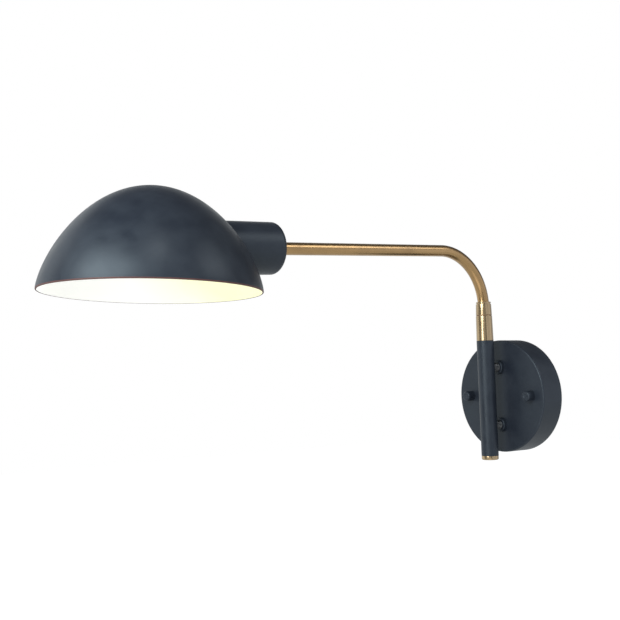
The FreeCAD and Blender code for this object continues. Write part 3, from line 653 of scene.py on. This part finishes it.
def dome_tree():
    """Spun dome: profile by rule, rounded rim, placed on the arm, with the lampholder's hole."""
    tree, given, result = piece_tree("Spun Dome", {
        "Diameter": 0.18, "Height": 0.09, "Wall": 0.0015, "Fullness": 1.45, "Segments": 240,
        "Steps": 64, "Rim Steps": 8, "Centre": "Vector", "Turn": "Vector",
        "Hole Diameter": 0.04, "Hole Centre": "Vector", "Hole Turn": "Vector",
        "Hole Depth": 0.1, "Outside": "Material", "Inside": "Material", "Rim Edge": "Material",
    })
    least_turn, crown, hole_sides, rim_enamel = 0.0001, 0.9999, 128, 0.3
    steps, rim_steps, wall = given["Steps"], given["Rim Steps"], given["Wall"]
    rows = steps * 2.0 + rim_steps + 1.0
    line = geo(tree, "MeshLine", {"Count": rows})
    index = geo(tree, "InputIndex")

    # From the outer crown down to the rim, round it and up again inside.
    half_rim = rim_steps / 2.0
    from_rim = calc("ABSOLUTE", index - (steps + half_rim)) - half_rim
    climb = calc("MAXIMUM", from_rim, 0.0) / steps
    turn = calc("MAXIMUM", climb * (math.pi / 2), least_turn)
    rim_turn = calc("DIVIDE", index - steps, rim_steps, clamp=True) * math.pi

    radius = given["Diameter"] / 2.0
    power = 2.0 / given["Fullness"]
    sine, cosine = calc("SINE", turn), calc("COSINE", turn)
    up = given["Height"] * calc("POWER", sine, power)
    slope_out = radius * sine * -1.0
    slope_up = up * power / sine * cosine
    slope = calc("SQRT", slope_out * slope_out + slope_up * slope_up)
    inset = wall * (calc("COSINE", rim_turn) * 0.5 + 0.5) / slope
    sag = calc("SINE", rim_turn) * (wall / 2.0)
    place_out = (radius * cosine - inset * slope_up) * (climb < crown)
    place_up = inset * slope_out + up - sag
    dome = use(tree, revolve_group(), {
        "Profile": moved(line, xyz(place_out, 0.0, place_up)), "Rows": rows,
        "Segments": given["Segments"],
    })["Mesh"]

    cutter = geo(tree, "MeshCylinder", {
        "Vertices": hole_sides, "Radius": given["Hole Diameter"] / 2.0,
        "Depth": given["Hole Depth"],
    })
    pierced = geo(tree, "MeshBoolean", {
        "Mesh 1": transformed(dome, given["Centre"], given["Turn"]),
        "Mesh 2": transformed(cutter, given["Hole Centre"], given["Hole Turn"]),
    }, operation="DIFFERENCE", solver="EXACT")

    row = recalled(tree, "row", "FLOAT")
    coated = painted(smooth_real(pierced), given["Outside"])
    edge = painted(coated, given["Rim Edge"], Selection=row < rim_steps + 1.0 + steps)
    fill(result, {"Geometry": painted(
        edge, given["Inside"], Selection=row < rim_steps * rim_enamel + steps
    )})
    return tree


def bent_tube_tree():
    """Round bar up a line, round one bend and straight on, with its place along itself kept."""
    tree, given, result = piece_tree("Bent Tube", {
        "Radius": 0.006, "Foot": "Vector", "Rise": 0.05, "Bend Radius": 0.057,
        "Bend Angle": 1.57, "Run": 0.2, "Stations": 260, "Segments": 64,
        "Material": "Material",
    })
    rise, bend_radius, bend_angle = given["Rise"], given["Bend Radius"], given["Bend Angle"]
    arc = bend_radius * bend_angle
    path = geo(tree, "CurvePrimitiveLine", {
        "Start": (0.0, 0.0, 0.0), "End": xyz(0.0, 0.0, rise + arc + given["Run"]),
    })
    path = geo(
        tree, "ResampleCurve", {"Curve": path, "Count": given["Stations"]}, mode="COUNT"
    )
    along = put(tree, "GeometryNodeSplineParameter")["Length"]
    path = stored(path, "along", along, "FLOAT")
    past_rise = along - rise
    turn = calc("MINIMUM", calc("MAXIMUM", past_rise, 0.0) / bend_radius, bend_angle)
    past_bend = calc("MAXIMUM", past_rise - arc, 0.0)
    bend_out = bend_radius * (1.0 - calc("COSINE", turn))
    out = past_bend * calc("SINE", bend_angle) + bend_out
    bend_up = bend_radius * calc("SINE", turn) + calc("MINIMUM", along, rise)
    up = past_bend * calc("COSINE", bend_angle) + bend_up
    section = stored(
        circle(tree, given["Segments"], given["Radius"]), "across", geo(tree, "InputPosition")
    )
    tube = geo(tree, "CurveToMesh", {
        "Curve": moved(path, xyz(0.0, out * -1.0, up)), "Profile Curve": section,
        "Fill Caps": True,
    })
    across = parts(recalled(tree, "across"))
    straight = xyz(across[0], across[1], recalled(tree, "along", "FLOAT"))
    close_tree(given, result, transformed(stored(tube, "straight", straight), given["Foot"]))
    return tree


@once("Threaded Rods")
def thread_tree(name):
    """Threaded rods or nipples with chamfered ends, repeated along a line."""
    tree, given, result = piece_tree(name, {
        "Radius": 0.002, "Bore": 0.0, "Length": 0.03, "Pitch": 0.0007, "Depth": 0.0003,
        "Rows": 100, "Segments": 32, "Copies": 1, "First": "Vector", "Step": "Vector",
        "Turn": "Vector", "Material": "Material",
    })
    least_bore, crest_cut, crest_rounding = 0.00001, 0.85, 0.25
    rows, bore, depth = given["Rows"], given["Bore"], given["Depth"]
    # Rows: the near end's centre or bore, the thread, the far end, and for a tube the near end.
    total_rows = rows + ((bore > least_bore) + 2.0)
    grid, row, turn, share = lathe_grid(tree, total_rows, given["Segments"])
    height = given["Length"] * calc("DIVIDE", row - 1.0, rows - 1.0, clamp=True)
    height = height * (row < rows + 1.5)
    phase = calc("FRACT", height / given["Pitch"] - share)
    crest = calc("ABSOLUTE", phase * 2.0 - 1.0)
    cut = calc("SMOOTH_MIN", crest, crest_cut, crest_rounding) * depth
    from_end = calc("MINIMUM", height, given["Length"] - height)
    chamfer = depth - calc("MINIMUM", from_end, depth)
    radius = given["Radius"] - calc("MAXIMUM", cut, chamfer)
    on_thread = (row > 0.5) * (row < rows + 0.5)
    radius = on_thread * (radius - bore) + bore
    rod = welded(moved(grid, around(radius, turn, height)))
    close_tree(given, result, repeated(given, rod))
    return tree


def cup_tree():
    """Spun cup whose open end is scribed to the dome, with the painted bead along that seam."""
    tree, given, result = piece_tree("Scribed Cup", {
        "Dome": "Object", "Start": "Vector", "Turn": "Vector", "Radius": 0.0239,
        "Wall": 0.0012, "Corner": 0.0125, "Bore": 0.005, "Corner Steps": 14, "Wall Steps": 24,
        "Segments": 160, "Bead": 0.0008, "Material": "Material",
    })
    ray_length, aim_inset, bead_sides = 0.3, 0.3, 12
    dome = put(
        tree, "GeometryNodeObjectInfo", {"Object": given["Dome"]}, transform_space="ORIGINAL"
    )["Geometry"]
    rotation = rotation_of(given["Turn"])

    def rotated(vector):
        return put(
            tree, "FunctionNodeRotateVector", {"Vector": vector, "Rotation": rotation}
        )[0]

    forward = rotated((0.0, 0.0, 1.0))

    def to_dome(local):
        """Distance from a point of the cup's end plane to the dome, along the arm."""
        start = put(
            tree, "ShaderNodeVectorMath", {0: rotated(local), 1: given["Start"]},
            operation="ADD",
        )[0]
        return put(tree, "GeometryNodeRaycast", {
            "Target Geometry": dome, "Source Position": start, "Ray Direction": forward,
            "Ray Length": ray_length,
        })["Hit Distance"]

    corner_steps, wall_steps = given["Corner Steps"], given["Wall Steps"]
    # Rows: from the bore round the outer corner and along the wall to the dome, then back
    # inside the sheet, and closed at the bore.
    side_rows = corner_steps + wall_steps + 2.0
    rows = side_rows * 2.0 + 1.0
    grid, row, turn, _ = lathe_grid(tree, rows, given["Segments"])
    outside = calc("MAXIMUM", row < side_rows - 0.5, row > rows - 1.5)
    back_row = side_rows * 2.0 - 1.0 - row
    step = calc("MAXIMUM", calc("MINIMUM", row, back_row), 0.0)
    wall_in = given["Wall"] * (1.0 - outside)
    radius = given["Radius"] - wall_in
    corner = given["Corner"] - wall_in
    corner_turn = calc("DIVIDE", step - 1.0, corner_steps, clamp=True) * (math.pi / 2)
    corner_out = corner * calc("SINE", corner_turn) + (radius - corner)
    corner_up = corner * (1.0 - calc("COSINE", corner_turn)) + wall_in
    out = (step < 0.5) * (given["Bore"] - corner_out) + corner_out
    # Rays of the inner wall start inside the sheet, clear of the hole in the dome.
    reach = to_dome(around(wall_in * aim_inset + radius, turn, 0.0))
    wall_share = calc("DIVIDE", step - corner_steps - 1.0, wall_steps, clamp=True)
    up = wall_share * (reach - given["Corner"]) + corner_up
    cup = welded(moved(grid, around(out, turn, up)))

    here = geo(tree, "InputPosition")
    split = parts(here)
    seam = moved(
        circle(tree, given["Segments"], given["Radius"]),
        xyz(split[0], split[1], to_dome(here)),
    )
    bead = geo(tree, "CurveToMesh", {
        "Curve": seam, "Profile Curve": circle(tree, bead_sides, given["Bead"]),
    })
    both = put(tree, "GeometryNodeJoinGeometry")
    for part in (bead, cup):
        fill(both.inputs, {0: part})
    close_tree(given, result, transformed(both[0], given["Start"], given["Turn"]))
    return tree


# -------- making pieces
def grow(name, tree, values, source=None):
    """Run a geometry tree with named inputs and return its result as one plain mesh object."""
    holder = bpy.data.objects.new(name + "_source", source or bpy.data.meshes.new(name + "_source"))
    bpy.context.scene.collection.objects.link(holder)
    modifier = holder.modifiers.new("Grow", "NODES")
    modifier.node_group = tree
    for item in tree.interface.items_tree:
        if item.in_out == "INPUT" and item.name in values:
            modifier[item.identifier] = values[item.name]
    graph = bpy.context.evaluated_depsgraph_get()
    mesh = bpy.data.meshes.new_from_object(holder.evaluated_get(graph), depsgraph=graph)
    if not mesh.polygons:
        raise RuntimeError(f"the tree {tree.name} made no faces for {name}")
    bpy.data.objects.remove(holder)
    mesh.name = name
    piece = bpy.data.objects.new(name, mesh)
    bpy.context.scene.collection.objects.link(piece)
    return piece


def profile_curve(name, corners, arc_step=math.radians(12)):
    """Poly curve in the XZ plane through (radius, height) corners; a third number rounds one."""
    points = []
    corner_count = len(corners)
    for index, (radius, height, *rounded) in enumerate(corners):
        here = Vector((radius, height))
        if not rounded:
            points.append(here)
            continue
        rounding = rounded[0]
        to_last = (Vector(corners[index - 1][:2]) - here).normalized()
        to_next = (Vector(corners[(index + 1) % corner_count][:2]) - here).normalized()
        half = to_last.angle(to_next) / 2
        centre = here + (to_last + to_next).normalized() * (rounding / math.sin(half))
        start = here + to_last * (rounding / math.tan(half)) - centre
        end = here + to_next * (rounding / math.tan(half)) - centre
        sweep = start.angle_signed(end)
        steps = max(2, round(abs(sweep) / arc_step))
        for step in range(steps + 1):
            turn = Matrix.Rotation(-sweep * step / steps, 2)
            points.append(centre + turn @ start)
    curve = bpy.data.curves.new(name, "CURVE")
    curve.dimensions = "3D"
    spline = curve.splines.new("POLY")
    spline.points.add(len(points) - 1)
    for slot, (radius, height) in zip(spline.points, points):
        slot.co = (radius, 0.0, height, 1.0)
    return curve


def turned(
    name, corners, material, first, segments=96, turn=(0.0, 0.0, 0.0), copies=1,
    step=(0.0, 0.0, 0.0),
):
    """Turned piece or a row of them; corners in millimetres, closed rings repeat the first."""
    scaled = [tuple(value * MM for value in corner) for corner in corners]
    return grow(
        name, turned_tree(),
        {
            "Segments": segments, "Copies": copies, "First": Vector(first), "Step": Vector(step),
            "Turn": Vector(turn), "Material": material,
        },
        profile_curve(name + "_profile", scaled),
    )


def settle(piece, body, slot, *nodes):
    """Tie a finished piece to its body and hide the CAD nodes that it stands for; the finish slot
    is not used.
    """
    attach(piece, body)
    if nodes:
        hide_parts(*nodes)


def settings():
    return bpy.context.scene.wall_light


def finish(name, make, *looks):
    """A finish by name, made when first asked for."""
    return bpy.data.materials.get(name) or make(name, *looks)


def coat():
    return finish("powder_coat", powder_coat, settings().finishes.coat)


def rim_edge():
    """Where the coat thins out over the shade's rim, the red-brown primer shows."""
    return finish(
        "rim_primer", coat_material, (0.10, 0.040, 0.036), (0.16, 0.075, 0.065), 0.50, 1100.0,
        0.30, 0.4,
    )


def turned_brass():
    finishes = settings().finishes
    return finish(
        "turned_brass", brass_material, finishes.polished, finishes.tarnish, 0.17, 0.30,
        2200.0, 0.10,
    )


def brushed_brass():
    finishes = settings().finishes
    return finish(
        "belt_brushed_brass", brass_material, finishes.brass, finishes.tarnish, 0.23, 0.25,
        2600.0, 0.25,
    )


def zinc():
    return finish("zinc_plate", plated_material, (0.60, 0.61, 0.62), (0.47, 0.45, 0.38), 0.30)


def pair_in(node, along):
    """Radius, length, first place and step of two round pieces in a CAD node's box.

    They point out of the wall and stand apart along axis 0 or 2."""
    low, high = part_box(node)
    radius = (high[2 - along] - low[2 - along]) / 2
    first, step = Vector((0.0, high.y, 0.0)), Vector((0.0, 0.0, 0.0))
    first[along] = low[along] + radius
    step[along] = high[along] - low[along] - 2 * radius
    return radius, high.y - low.y, first, step


def threaded_pair(name, node, along, pitch, depth, segments, material, bore=0.0):
    """Two threaded rods or nipples in place of a CAD node."""
    rows_a_turn = 8
    radius, reach, first, step = pair_in(node, along)
    rods = grow(name, thread_tree(), {
        "Radius": radius, "Bore": bore, "Length": reach, "Pitch": pitch, "Depth": depth,
        "Rows": round(reach / pitch * rows_a_turn), "Segments": segments, "Copies": 2,
        "First": first, "Step": step, "Turn": Vector(OUT_OF_WALL), "Material": material,
    })
    settle(rods, "wall_assembly", "zinc_plated_steel", node)


class MakerOperator:
    """What the operators share; each makes its pieces in make()"""

    bl_options = {"REGISTER", "UNDO"}

    def execute(self, context):
        self.make(context)
        return {"FINISHED"}


class WALLLIGHT_OT_canopy(MakerOperator, bpy.types.Operator):
    """Coat the canopy and column and turn the two cap nuts"""

    bl_idname = "wall_light.canopy"
    bl_label = "Canopy and Column"

    def make(self, context):
        finish_nodes(coat(), "wall_canopy", "column_tube")
        radius, reach, first, step = pair_in("canopy_cap_nuts", 0)
        radius, reach = radius / MM, reach / MM
        nuts = turned(
            "cap_nuts",
            [
                (0.0, 0.0), (radius, 0.0, 0.35), (radius, reach, 1.9),
                (radius * 0.42, reach, 0.5), (radius * 0.30, reach - 0.35, 0.2),
                (0.0, reach - 0.35),
            ],
            coat(), first, turn=OUT_OF_WALL, copies=2, step=step,
        )
        settle(nuts, "wall_assembly", "dark_powder_coat", "canopy_cap_nuts")


class WALLLIGHT_OT_swivel(MakerOperator, bpy.types.Operator):
    """Turn the brass sleeve, collar and end cap of the column"""

    bl_idname = "wall_light.swivel"
    bl_label = "Swivel and End Cap"

    def make(self, context):
        foot, top = self.span("column_tube")[1], self.span("swivel_sleeve")[1]
        self.turn_brass("sleeve", "wall_assembly", "swivel_sleeve", [
            (6.0, foot - 4.0), (6.8, foot - 4.0), (6.8, foot), (9.0, foot, 0.15),
            (8.6, top, 0.45), (6.0, top), (6.0, foot - 4.0),
        ])
        foot, top = self.span("swivel_collar")
        self.turn_brass("collar", "swing_arm", "swivel_collar", [
            (5.0, foot), (8.5, foot, 0.5), (8.1, foot + 12.0, 0.2), (7.1, foot + 12.0),
            (7.1, foot + 12.8), (7.85, foot + 12.8, 0.2), (7.85, top, 0.45), (6.2, top, 0.2),
            (6.2, top - 3.0), (5.0, top - 3.0), (5.0, foot),
        ])
        foot, top = self.span("column_end_cap")[0], self.span("column_tube")[0]
        self.turn_brass("end_cap", "wall_assembly", "column_end_cap", [
            (0.0, foot + 0.9), (5.0, foot + 0.9, 0.3), (5.6, foot, 0.3), (9.0, foot, 1.4),
            (9.0, top, 0.12), (6.9, top), (6.9, top + 6.0), (0.0, top + 6.0),
        ])

    def span(self, node):
        """Foot and top of a CAD node, in millimetres."""
        low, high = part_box(node)
        return low.z / MM, high.z / MM

    def turn_brass(self, name, body, node, corners):
        """Brass piece on the column's axis in place of a CAD node."""
        piece = turned(name, corners, turned_brass(), (*COLUMN_AXIS, 0.0), segments=128)
        settle(piece, body, "brushed_brass", node)


class WALLLIGHT_OT_arm(MakerOperator, bpy.types.Operator):
    """Bend the brass tube of the arm"""

    bl_idname = "wall_light.arm"
    bl_label = "Arm Tube"

    def make(self, context):
        arm = settings().arm
        bend = math.pi / 2 + arm.droop
        tangent = arm.bend_radius * math.tan(bend / 2)
        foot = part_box("arm_tube")[0].z
        tube = grow("arm", bent_tube_tree(), {
            "Radius": arm.diameter / 2, "Foot": Vector((*COLUMN_AXIS, foot)),
            "Rise": arm.height - tangent - foot, "Bend Radius": arm.bend_radius,
            "Bend Angle": bend, "Run": arm.reach - tangent,
            "Material": brushed_brass(),
        })
        settle(tube, "swing_arm", "brushed_brass", "arm_tube")


class WALLLIGHT_OT_shade(MakerOperator, bpy.types.Operator):
    """Spin the dome and scribe the lampholder cup to it"""

    bl_idname = "wall_light.shade"
    bl_label = "Shade and Cup"

    def make(self, context):
        shade, arm = settings().shade, settings().arm
        droop = arm.droop
        arm_turn = Vector((math.pi / 2 + droop, 0.0, 0.0))

        def arm_point(distance):
            return Vector((
                COLUMN_AXIS.x, COLUMN_AXIS.y - distance * math.cos(droop),
                arm.height - distance * math.sin(droop),
            ))

        hole_depth = shade.reach - arm.reach
        holder_mouth = arm_point(arm.reach + hole_depth / 2)
        # The shade's inside gets enamel with a painted glow round the holder's mouth.
        inside = lamp_enamel(settings().finishes, holder_mouth, shade.diameter / 2)
        dome = grow("shade", dome_tree(), {
            "Diameter": shade.diameter, "Height": shade.height, "Wall": shade.wall,
            "Fullness": shade.fullness, "Segments": shade.around, "Steps": shade.steps,
            "Rim Steps": shade.rim_steps,
            "Centre": Vector((COLUMN_AXIS.x, COLUMN_AXIS.y - shade.reach, shade.rim_height)),
            "Turn": Vector((-shade.tilt, 0.0, 0.0)),
            "Hole Diameter": arm.cup_diameter - 2 * arm.cup_wall,
            "Hole Centre": holder_mouth, "Hole Turn": arm_turn, "Hole Depth": hole_depth,
            "Outside": coat(), "Inside": inside, "Rim Edge": rim_edge(),
        })
        cup = grow("cup", cup_tree(), {
            "Dome": dome, "Start": arm_point(arm.reach), "Turn": arm_turn,
            "Radius": arm.cup_diameter / 2, "Wall": arm.cup_wall, "Corner": arm.cup_corner,
            "Material": coat(),
        })
        settle(dome, "swing_arm", "dark_powder_coat", "lamp_shade")
        settle(cup, "swing_arm", "dark_powder_coat", "lampholder_cup")


class WALLLIGHT_OT_fixings(MakerOperator, bpy.types.Operator):
    """Cut the threads of the studs and nipples and plate the steel behind the canopy"""

    bl_idname = "wall_light.fixings"
    bl_label = "Fixings"

    def make(self, context):
        finish_nodes(
            zinc(), "mounting_bar", "stud_locknuts", "nipple_washers", "nipple_locknuts",
            "stop_pin", "swivel_pin", "thrust_washer", "spring_washer", "swivel_ring_nut",
            "arm_nipple", "cup_locknut",
        )
        threaded_pair(
            "studs", "mounting_studs", 0, pitch=0.7 * MM, depth=0.38 * MM, segments=28,
            material=zinc(),
        )
        black_steel = finish(
            "blacked_steel", plated_material, (0.10, 0.105, 0.11), (0.05, 0.05, 0.055), 0.42
        )
        threaded_pair(
            "nipples", "standoff_nipples", 2, pitch=1.0 * MM, depth=0.5 * MM, segments=48,
            material=black_steel, bore=3.5 * MM,
        )
        finish_nodes(coat(), "standoff_flanges")
        finish_nodes(
            coat_material("green_paint", (0.05, 0.30, 0.10), (0.12, 0.42, 0.18), 0.38),
            "ground_screw",
        )


class WALLLIGHT_OT_wiring(MakerOperator, bpy.types.Operator):
    """Finish the terminal block, its screws, the leads and the friction washer"""

    bl_idname = "wall_light.wiring"
    bl_label = "Wiring"

    def make(self, context):
        finish_nodes(
            coat_material("block_plastic", (0.76, 0.76, 0.72), (0.84, 0.84, 0.80), 0.42, 300.0),
            "terminal_block",
        )
        finish_nodes(
            plated_material("bright_brass", (0.72, 0.54, 0.25), (0.42, 0.30, 0.13), 0.22),
            "terminal_screws", "screw_shell", "centre_contact",
        )
        finish_nodes(
            coat_material("lead_sheath", (0.03, 0.03, 0.031), (0.07, 0.07, 0.07), 0.48, 260.0),
            "column_lead", "arm_lead",
        )
        finish_nodes(
            coat_material("fibre", (0.22, 0.11, 0.07), (0.33, 0.19, 0.12), 0.62, 700.0),
            "friction_washer",
        )


class WALLLIGHT_OT_lamp(MakerOperator, bpy.types.Operator):
    """Finish the lampholder and light the bulb"""

    bl_idname = "wall_light.lamp"
    bl_label = "Lampholder and Bulb"

    def make(self, context):
        finish_nodes(
            coat_material(
                "black_moulding", (0.022, 0.022, 0.023), (0.05, 0.05, 0.05), 0.34, 240.0
            ),
            "lampholder_base", "lampholder_body",
        )
        finish_nodes(
            plated_material("bulb_nickel", (0.72, 0.72, 0.71), (0.55, 0.54, 0.50), 0.24, 0.35),
            "bulb_cap",
        )
        finish_nodes(opal_glass(settings().finishes), "bulb_glass")


# -------- stage
def white_to_camera(tree, lit, seen):
    """Mix two shaders: the first for light that falls on things, the second where a ray sees it."""
    path = put(tree, "ShaderNodeLightPath")
    seen_by = calc("MAXIMUM", path["Is Camera Ray"], path["Is Glossy Ray"])
    seen_by = calc("MAXIMUM", seen_by, path["Is Transmission Ray"])
    return put(tree, "ShaderNodeMixShader", {0: seen_by, 1: lit, 2: seen})[0]


WHITE = (1.0, 1.0, 1.0, 1.0)
FLOOR_REACH = 6.0
CARD_RADIUS = 2.3
CARD_CENTRE_Y = -0.2
CARD_FOOT, CARD_SPLIT, CARD_TOP = -0.60, 0.60, 1.9
CARD_ARC = 5.0
FRONT_TINT = (0.97, 1.0, 1.0, 1.0)
SIDE_TINT = (0.90, 0.93, 1.0, 1.0)
# From and to in degrees about the object (-90 is straight out of the wall), grey level of the
# lower and the upper card, tint.
CARDS = (
    (-150, -130, 0.95, 0.80, FRONT_TINT),
    (-130, -110, 0.22, 0.20, FRONT_TINT),
    (-110, -60, 0.36, 0.34, FRONT_TINT),
    (-60, -30, 0.50, 0.34, FRONT_TINT),
    (-30, -18, 0.15, 0.28, FRONT_TINT),
    (-18, -10, 0.50, 0.60, SIDE_TINT),
    (-10, 0, 0.85, 0.90, SIDE_TINT),
    (0, 10, 0.60, 0.70, SIDE_TINT),
    (10, 40, 0.68, 0.40, SIDE_TINT),
    (40, 60, 0.85, 0.70, SIDE_TINT),
    (60, 100, 0.48, 0.12, SIDE_TINT),
    (100, 130, 0.55, 0.10, FRONT_TINT),
    (130, 170, 0.80, 0.85, FRONT_TINT),
    (170, 210, 0.85, 1.00, FRONT_TINT),
)
# Name, grey level, height
LEVEL_CARDS = (
    ("card_top", 0.13, CARD_TOP),
    ("card_low", 0.63, CARD_FOOT),
)
LAMP_AIM = (0.0, -0.25, 0.10)
# Name, place, width, height, watts, colour
LAMPS = (
    ("key_lamp", (0.26, -1.17, 0.58), 0.90, 0.50, 8.5, (0.90, 0.97, 1.0)),
    ("front_lamp", (0.29, -1.31, 0.14), 0.42, 0.50, 3.0, (0.97, 0.99, 1.0)),
    ("side_lamp", (0.61, -0.60, 0.94), 0.22, 0.38, 1.4, (0.97, 0.98, 1.0)),
    ("back_lamp", (0.84, 0.48, 0.94), 0.55, 0.55, 2.3, (0.97, 0.98, 1.0)),
    ("low_lamp", (0.45, -0.60, -0.45), 0.60, 0.60, 0.65, (1.0, 0.92, 0.95)),
)


def square(half, centre_y, height):
    """Corners of a level square about X = 0."""
    sides = ((-1, -1), (1, -1), (1, 1), (-1, 1))
    return [(side * half, centre_y + depth * half, height) for side, depth in sides]


def stage_mesh(name, corners, faces):
    """Mesh of the stage, which is no part of the object."""
    mesh = bpy.data.meshes.new(name)
    mesh.from_pydata(corners, [], faces)
    piece = bpy.data.objects.new(name, mesh)
    bpy.context.scene.collection.objects.link(piece)
    return piece


def set_card(name, corners, faces, level, tint=FRONT_TINT):
    """Evenly grey card that neither the camera nor a shadow shows."""
    card = stage_mesh(name, corners, faces)
    material, tree = bare_material(name)
    grey = put(tree, "ShaderNodeEmission", {"Color": tint, "Strength": level})
    put(tree, "ShaderNodeOutputMaterial", {"Surface": grey[0]})
    card.data.materials.append(material)
    card.visible_camera = False
    card.visible_shadow = False


def soft_lamp(name, place_at, aim, width, height, watts, rgb):
    """Area lamp that points from its place to a point."""
    data = bpy.data.lights.new(name, "AREA")
    data.shape = "RECTANGLE"
    data.size, data.size_y = width, height
    data.energy = watts
    data.color = rgb
    lamp = bpy.data.objects.new(name, data)
    lamp.location = place_at
    lamp.rotation_euler = (Vector(aim) - Vector(place_at)).to_track_quat("-Z", "Y").to_euler()
    bpy.context.scene.collection.objects.link(lamp)
    return lamp


class WALLLIGHT_OT_stage(MakerOperator, bpy.types.Operator):
    """Set up the camera, the white surroundings, the floor and the soft lamps"""

    bl_idname = "wall_light.stage"
    bl_label = "Camera and Studio"

    def make(self, context):
        self.set_camera(context, settings().studio)
        self.set_world(context)
        self.set_floor(settings().studio)
        self.set_cards()
        self.set_lamps()
        context.scene.view_settings.view_transform = "Standard"

    def set_camera(self, context, studio):
        data = bpy.data.cameras.new("camera")
        data.sensor_width = 36.0
        data.lens = studio.focal_pixels / PHOTO_PIXELS * data.sensor_width
        data.clip_start, data.clip_end = 0.01, 50.0
        camera = bpy.data.objects.new("camera", data)
        upright = Matrix.Rotation(math.pi / 2, 3, "X")
        look = (
            Matrix.Rotation(studio.yaw, 3, "Z") @ Matrix.Rotation(studio.pitch, 3, "X")
            @ Matrix.Rotation(studio.roll, 3, "Y") @ upright
        )
        camera.matrix_world = Matrix.Translation(studio.camera_place) @ look.to_4x4()
        context.scene.collection.objects.link(camera)
        context.scene.camera = camera

    def set_world(self, context):
        world = bpy.data.worlds.new("studio")
        context.scene.world = world
        world.use_nodes = True
        tree = world.node_tree
        tree.nodes.clear()
        lit = put(tree, "ShaderNodeBackground", {"Color": (0.80, 0.88, 1.0, 1.0), "Strength": 0.30})
        seen = put(tree, "ShaderNodeBackground", {"Color": WHITE, "Strength": 1.0})
        put(tree, "ShaderNodeOutputWorld", {"Surface": white_to_camera(tree, lit[0], seen[0])})

    def set_floor(self, studio):
        floor = stage_mesh(
            "floor", square(FLOOR_REACH, 0.0, cad_box[0].z - studio.floor_drop), [(0, 1, 2, 3)]
        )
        material, tree = bare_material("pale_floor")
        lit = put(tree, "ShaderNodeBsdfDiffuse", {"Color": (0.86, 0.86, 0.86, 1.0)})
        shadowed = put(tree, "ShaderNodeBsdfDiffuse", {"Color": (0.30, 0.30, 0.30, 1.0)})
        white = put(tree, "ShaderNodeEmission", {"Color": WHITE, "Strength": 0.96})
        veil = put(tree, "ShaderNodeAddShader", {0: shadowed[0], 1: white[0]})
        put(tree, "ShaderNodeOutputMaterial", {"Surface": white_to_camera(tree, lit[0], veil[0])})
        floor.data.materials.append(material)

    def set_cards(self):
        """Grey cards out of the picture, which metal and coat reflect beside the white room."""
        for start, end, lower, upper, tint in CARDS:
            steps = max(1, round((end - start) / CARD_ARC))
            for part, level, foot, top in (
                ("lower", lower, CARD_FOOT, CARD_SPLIT), ("upper", upper, CARD_SPLIT, CARD_TOP)
            ):
                corners = []
                for step in range(steps + 1):
                    turn = math.radians(start + (end - start) * step / steps)
                    x = CARD_RADIUS * math.cos(turn)
                    y = CARD_CENTRE_Y + CARD_RADIUS * math.sin(turn)
                    corners += [(x, y, foot), (x, y, top)]
                faces = [(low, low + 1, low + 3, low + 2) for low in range(0, 2 * steps, 2)]
                set_card(f"card_{start + 360:.0f}_{part}", corners, faces, level, tint)
        for name, level, height in LEVEL_CARDS:
            set_card(name, square(CARD_RADIUS, CARD_CENTRE_Y, height), [(0, 1, 2, 3)], level)

    def set_lamps(self):
        for name, spot, width, height, watts, rgb in LAMPS:
            soft_lamp(name, spot, LAMP_AIM, width, height, watts, rgb)


class WALLLIGHT_PT_panel(bpy.types.Panel):
    """Lists what the add-on makes"""

    bl_label = "Wall Light"
    bl_idname = "WALLLIGHT_PT_panel"
    bl_space_type = "VIEW_3D"
    bl_region_type = "UI"
    bl_category = "Wall Light"

    def draw(self, context):
        chosen = context.scene.wall_light
        for operator in OPERATORS:
            self.layout.operator(operator.bl_idname)
        for label in ("shade", "arm", "finishes", "studio"):
            box = self.layout.box()
            box.label(text=label.capitalize())
            group = getattr(chosen, label)
            for key in group.__annotations__:
                box.prop(group, key)


PROPERTY_GROUPS = (ShadeSizes, ArmSizes, Finishes, Studio, WallLight)
OPERATORS = (
    WALLLIGHT_OT_stage, WALLLIGHT_OT_canopy, WALLLIGHT_OT_swivel, WALLLIGHT_OT_arm,
    WALLLIGHT_OT_shade, WALLLIGHT_OT_fixings, WALLLIGHT_OT_wiring, WALLLIGHT_OT_lamp,
)


def register():
    for part in (*PROPERTY_GROUPS, *OPERATORS, WALLLIGHT_PT_panel):
        bpy.utils.register_class(part)
    bpy.types.Scene.wall_light = bpy.props.PointerProperty(type=WallLight)


def unregister():
    del bpy.types.Scene.wall_light
    for part in reversed((*PROPERTY_GROUPS, *OPERATORS, WALLLIGHT_PT_panel)):
        bpy.utils.unregister_class(part)


def main():
    register()
    for make in ("stage", "canopy", "swivel", "arm", "shade", "fixings", "wiring", "lamp"):
        getattr(bpy.ops.wall_light, make)()


if __name__ == "__main__":
    main()
